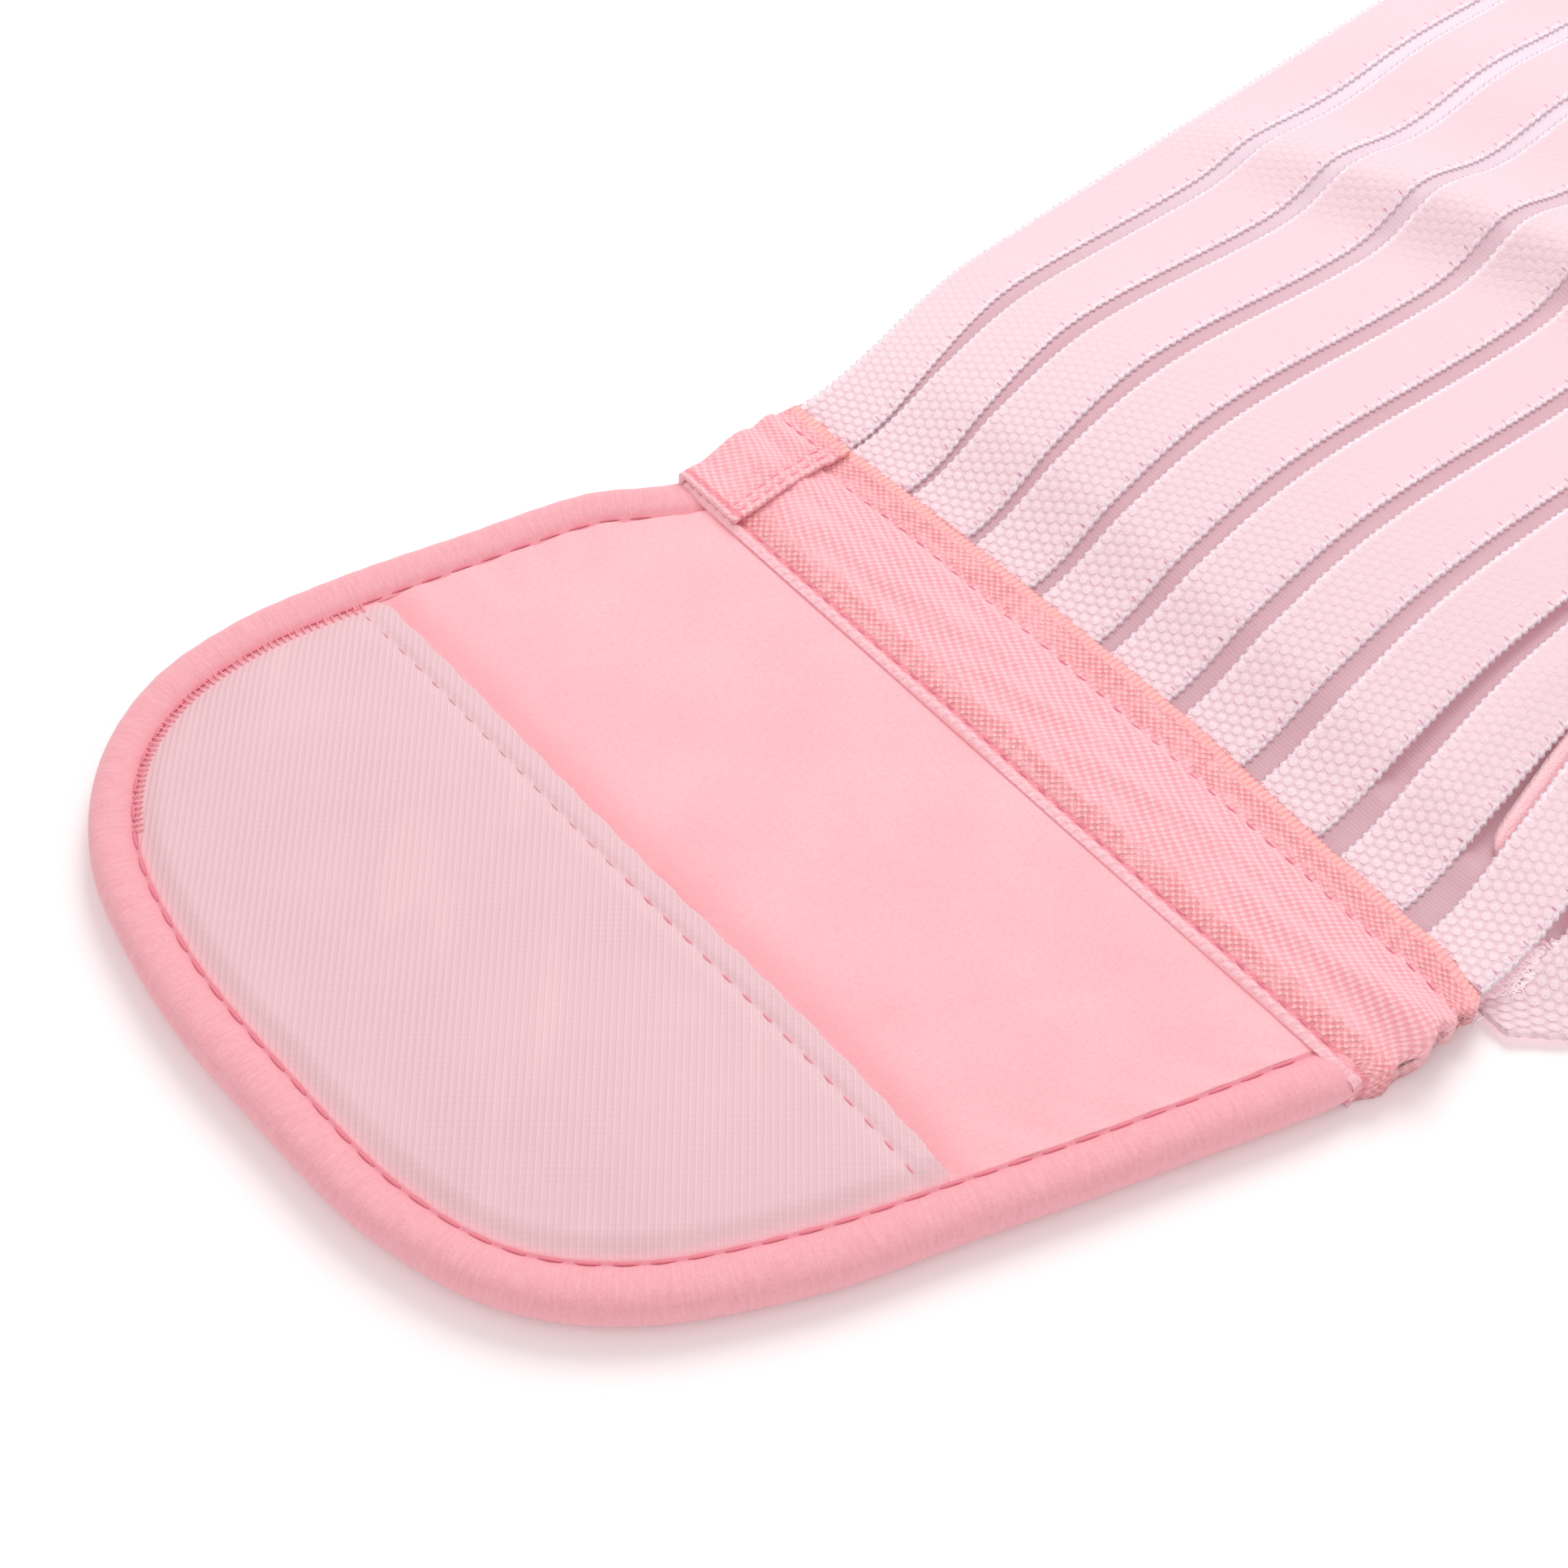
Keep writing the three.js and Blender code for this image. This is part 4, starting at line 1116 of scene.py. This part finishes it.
def patch_top(x, y, inward):
    """Upper surface of the patch: flat, soft, and pressed down along its stitches and at the binding."""
    soft = 0.13 * np.sin(x / 7.0 + y / 13) + 0.1 * np.sin(y / 8.0 - x / 11)
    sewn = -0.28 * bell(x - patch_edge(y) + PATCH_SEAM, 0.7)
    level = TAB_FACE + CLEAR + PATCH_SHOWN
    pressed = (level - PATCH_LOW) * (1 - smooth(inward / 3.4))
    return level + 0.25 * smooth(inward / 14) - pressed + sewn + soft * smooth(inward / 6)


def make_patch():
    ring = LINE - NORMAL * PATCH_RIM
    kept = ring[ring[:, 0] < patch_edge(ring[:, 1])]
    cut_y = np.linspace(kept[-1][1], kept[0][1], 110)[1:-1]
    fine = 0.1 * np.sign(np.sin(cut_y * 5.2))
    outline = np.vstack([kept, np.column_stack([patch_edge(cut_y) + fine, cut_y])])
    rings = []
    for share, rise in ((0.5, -0.6), (1.0, -1.2), (1.0, 0.06), (0.997, 0.12)):
        flat = PATCH_MIDDLE + (outline - PATCH_MIDDLE) * share
        z = patch_top(flat[:, 0], flat[:, 1], rim_distance(flat)) - 0.12 + rise
        rings.append(np.column_stack([flat, z]))
    for share in np.concatenate([np.linspace(0.985, 0.84, 12), np.linspace(0.8, 0.04, 20)]):
        flat = PATCH_MIDDLE + (outline - PATCH_MIDDLE) * share
        rings.append(np.column_stack([flat, patch_top(flat[:, 0], flat[:, 1], rim_distance(flat))]))
    points = np.vstack(rings)
    turned = math.radians(PATCH_WEAVE)
    along = points[:, 0] * math.sin(turned) - points[:, 1] * math.cos(turned)
    across = points[:, 0] * math.cos(turned) + points[:, 1] * math.sin(turned)
    # The third share paints light along the rim, where the patch goes under the binding
    cloth = np.column_stack([along, across, 1 - smooth(rim_distance(points[:, :2]) / 1.6)])
    faces = loft_faces(len(rings), len(outline))
    patch = add_piece("hook_sheet", points, faces, cloth, "hook", ["hook_patch"])


# Sewing
UP = np.array((0, 0, 1.0))
STITCH_POINTS = 7
STITCH_SIDES = 6
STITCH_SINK = 0.25  # how far the ends of a stitch dip into the cloth
THREAD_POINTS = 8
THREAD_SIDES = 5
TUFT_THREADS = 34
BAND_THREADS = 260
WANDER = 0.12  # how far a row of stitches strays from its line


def stitch_lines(path, pitch, length, along):
    """The middle line of each stitch, from one long path, or from pairs of points where pitch is 0."""
    if not pitch:
        return [mix(pair[0], pair[1], along[:, None]) for pair in path]
    path = np.array(path, dtype=float)
    gone = np.concatenate([[0], np.cumsum(np.linalg.norm(np.diff(path, axis=0), axis=1))])
    starts = np.arange(pitch * 0.3, gone[-1] - length, pitch)
    lines = []
    for start in starts:
        places = start + along * length
        lines.append(np.stack([np.interp(places, gone, path[:, k]) for k in range(3)], axis=1))
    return lines


def add_tubes(name, tubes, sides, finish, mirrored):
    """One piece of thin tubes, given by middle lines, level ways beside them, radii and distances."""
    angles = np.linspace(0, 2 * math.pi, sides, endpoint=False)
    points, faces, cloth = [], [], []
    for number, (middle, beside, thick, places) in enumerate(tubes):
        ring = np.cos(angles)[None, :, None] * beside + np.sin(angles)[None, :, None] * UP
        base = number * len(middle) * sides
        points.append((middle[:, None, :] + ring * thick[:, None, None]).reshape(-1, 3))
        faces += [[i + base for i in face] for face in loft_faces(len(middle), sides)]
        cloth.append(as_points(places[:, None], angles[None, :], 0.0))
    add_piece(name, np.vstack(points), faces, np.vstack(cloth), finish, (), mirrored)


def sew(name, path, finish, mirrored=False, *, pitch, length, radius):
    """Stitches along a path of points in millimetres, each a short tube whose ends dip into the cloth."""
    along = np.linspace(0, 1, STITCH_POINTS)
    thick = radius * (0.55 + 0.45 * np.sin(math.pi * np.clip(along, 0.08, 0.92)))
    tubes = []
    for middle in stitch_lines(path, pitch, length, along):
        middle[:, 2] -= STITCH_SINK * np.abs(along * 2 - 1) ** 3
        heading = middle[-1] - middle[0]
        heading /= np.linalg.norm(heading)
        tubes.append((middle, np.array((-heading[1], heading[0], 0.0)), thick, along * length))
    add_tubes(name, tubes, STITCH_SIDES, finish, mirrored)


def fray(name, starts, headings, lengths, finish, mirrored, *, radius, seed):
    """Loose thread ends, each a thin tube that leaves its start on a heading and curls down."""
    rng = np.random.default_rng(seed)
    along = np.linspace(0, 1, THREAD_POINTS)
    thick = radius * (1 - 0.5 * along)
    tubes = []
    for start, heading, length in zip(starts, headings, lengths):
        forward = np.array((math.cos(heading), math.sin(heading), 0.0))
        aside = np.array((-forward[1], forward[0], 0.0))
        curl = rng.uniform(-0.7, 0.7)
        rise = rng.uniform(0.0, 0.5)
        line = np.array(start) + along[:, None] * length * forward
        line = line + (along ** 2)[:, None] * curl * length * aside
        line[:, 2] = np.maximum(radius, line[:, 2] + length * (rise * along - (rise + 0.25) * along ** 2))
        tubes.append((line, aside, thick, along * length))
    add_tubes(name, tubes, THREAD_SIDES, finish, mirrored)


def fray_end(end, mirrored):
    """Loose threads at the tape's cut edges and round the lowest band, where it leaves the tape."""
    rng = np.random.default_rng(7)
    ys = rng.uniform(FOLD_START + 0.5, TAPE_END + 0.6, TUFT_THREADS)
    xs = tape_spread(TAPE_WIDTH - 0.3, TAPE_END) + 0 * ys
    zs = fold_top(TAPE_WIDTH - 0.3, np.minimum(ys, TAPE_END)) - rng.uniform(0.1, 0.8, TUFT_THREADS)
    headings = rng.uniform(-0.6, 0.7, TUFT_THREADS)
    lengths = rng.uniform(0.4, 1.9, TUFT_THREADS)
    fray(f"{end}_fold_threads", zip(xs, ys, zs), headings, lengths, "pink_thread", mirrored,
         radius=0.07, seed=11)
    ys = np.arange(-TAPE_HALF + 1, FOLD_START, 0.85)
    xs = tape_spread(TAPE_WIDTH, ys) - 0.1
    zs = BAND_SLOT + 0.55 + tape_lift(TAPE_WIDTH, ys) - end_press(ys)
    headings = rng.normal(0, 0.25, len(ys))
    lengths = rng.uniform(0.35, 0.8, len(ys))
    fray(f"{end}_edge_threads", zip(xs, ys, zs), headings, lengths, "pink_thread", mirrored,
         radius=0.13, seed=12)
    runs = rng.uniform(-1.0, 13.0, BAND_THREADS)
    across = rng.uniform(0.72, 1.04, BAND_THREADS) * BAND_WIDTH / 2
    y, z = band_layer(BAND_COUNT, runs, across)
    starts = np.column_stack([runs + tape_width(-TAPE_HALF + 5), y, z])
    headings = math.pi / 2 + rng.normal(0, 0.8, BAND_THREADS)
    lengths = rng.uniform(0.5, 2.4, BAND_THREADS)
    fray(f"{end}_band_threads", starts, headings, lengths, "white_thread", mirrored,
         radius=0.11, seed=13)


def tape_path(x, low, high, up=0.05):
    ys = np.arange(low, high, 0.5)
    return np.column_stack([tape_spread(x, ys), ys, tape_top(x, ys) + up])


def sew_end(end, mirrored):
    seam = tape_path(SEAM_ROW, -TAPE_HALF + 3, FOLD_START - 0.5)
    seam[:, 0] += WANDER * np.sin(seam[:, 1] / 6)
    sew(f"{end}_seam_stitches", seam, "dark_thread", mirrored,
        pitch=STITCH_PITCH, length=2.1, radius=0.16)
    ridge = tape_path(RIDGE_ROW, -TAPE_HALF + 3, FOLD_START - 0.5)
    ridge[:, 0] += WANDER * np.sin(ridge[:, 1] / 5 + 1)
    sew(f"{end}_ridge_stitches", ridge, "dark_thread", mirrored,
        pitch=STITCH_PITCH, length=2.2, radius=0.17)
    for number, row in enumerate(FOLD_ROWS):
        y = FOLD_START + row
        xs = np.arange(1.5, 21.5, 0.5)
        path = np.column_stack([tape_spread(xs, y), np.full(len(xs), y), fold_top(xs, y) + 0.1])
        sew(f"{end}_fold_stitches_{number + 1}", path, "pink_thread", mirrored,
            pitch=2.3, length=1.7, radius=0.19)
    ys = np.arange(FOLD_START + 3, TAPE_END - 0.6, 0.4)
    column = np.column_stack([tape_spread(FOLD_COLUMN, ys), ys, fold_top(FOLD_COLUMN, ys) + 0.1])
    sew(f"{end}_fold_stitch_column", column, "pink_thread", mirrored,
        pitch=2.2, length=1.5, radius=0.18)
    inner = (DISTANCE > 8) & (DISTANCE < DISTANCE[-1] - 8)
    groove = inset(GROOVE, 5.14)[inner]
    sew(f"{end}_binding_stitches", groove, "binding_thread", mirrored,
        pitch=4.2, length=2.8, radius=0.23)


def sew_patch():
    ring = LINE - NORMAL * (PATCH_RIM + 1.5)
    crossing = ring[np.abs(ring[:, 0] + PATCH_EDGE + PATCH_SEAM) < 2.0][:, 1]
    ys = np.arange(crossing.min(), crossing.max(), 0.5)
    flat = np.column_stack([patch_edge(ys) - PATCH_SEAM, ys])
    line = np.column_stack([flat, patch_top(flat[:, 0], ys, rim_distance(flat)) + 0.12])
    faint = len(line) // 2
    sew("patch_stitches", line[:faint], "pink_thread", pitch=3.6, length=2.0, radius=0.13)
    sew("patch_faint_stitches", line[faint:], "pale_thread", pitch=3.6, length=2.0, radius=0.11)
    rim = np.arange(PATCH_TICKS[0], PATCH_TICKS[1], 1.05)
    ticks = []
    for depth in (PATCH_RIM + 1.0, PATCH_RIM - 0.55):
        ring = LINE - NORMAL * depth
        ticks.append(np.column_stack([np.interp(rim, DISTANCE, ring[:, k]) for k in range(2)]))
    pairs = [np.column_stack([np.stack(pair), TICK_HEIGHTS]) for pair in zip(*ticks)]
    sew("patch_edge_stitches", pairs, "pink_thread", pitch=0, length=1.3, radius=0.13)


def make_floor():
    mesh = bpy.data.meshes.new("floor")
    sides = [(-1, -1), (1, -1), (1, 1), (-1, 1)]
    corners = [(x * FLOOR_HALF, y * FLOOR_HALF, FLOOR_LEVEL) for x, y in sides]
    mesh.from_pydata(corners, [], [(0, 1, 2, 3)])
    mesh.materials.append(floor_finish())
    floor = bpy.data.objects.new("floor", mesh)
    bpy.context.scene.collection.objects.link(floor)


for row in range(1, BAND_COUNT + 1):
    make_band(row)
for row in range(1, BAND_COUNT):
    make_sheer_strip(row)
make_strap()
for end, mirrored in (("hook_end", False), ("plain_end", True)):
    make_pad(end, mirrored)
    make_binding(end, mirrored)
    make_tape(end, mirrored)
    make_fold(end, mirrored)
    sew_end(end, mirrored)
    fray_end(end, mirrored)
make_patch()
sew_patch()
make_floor()
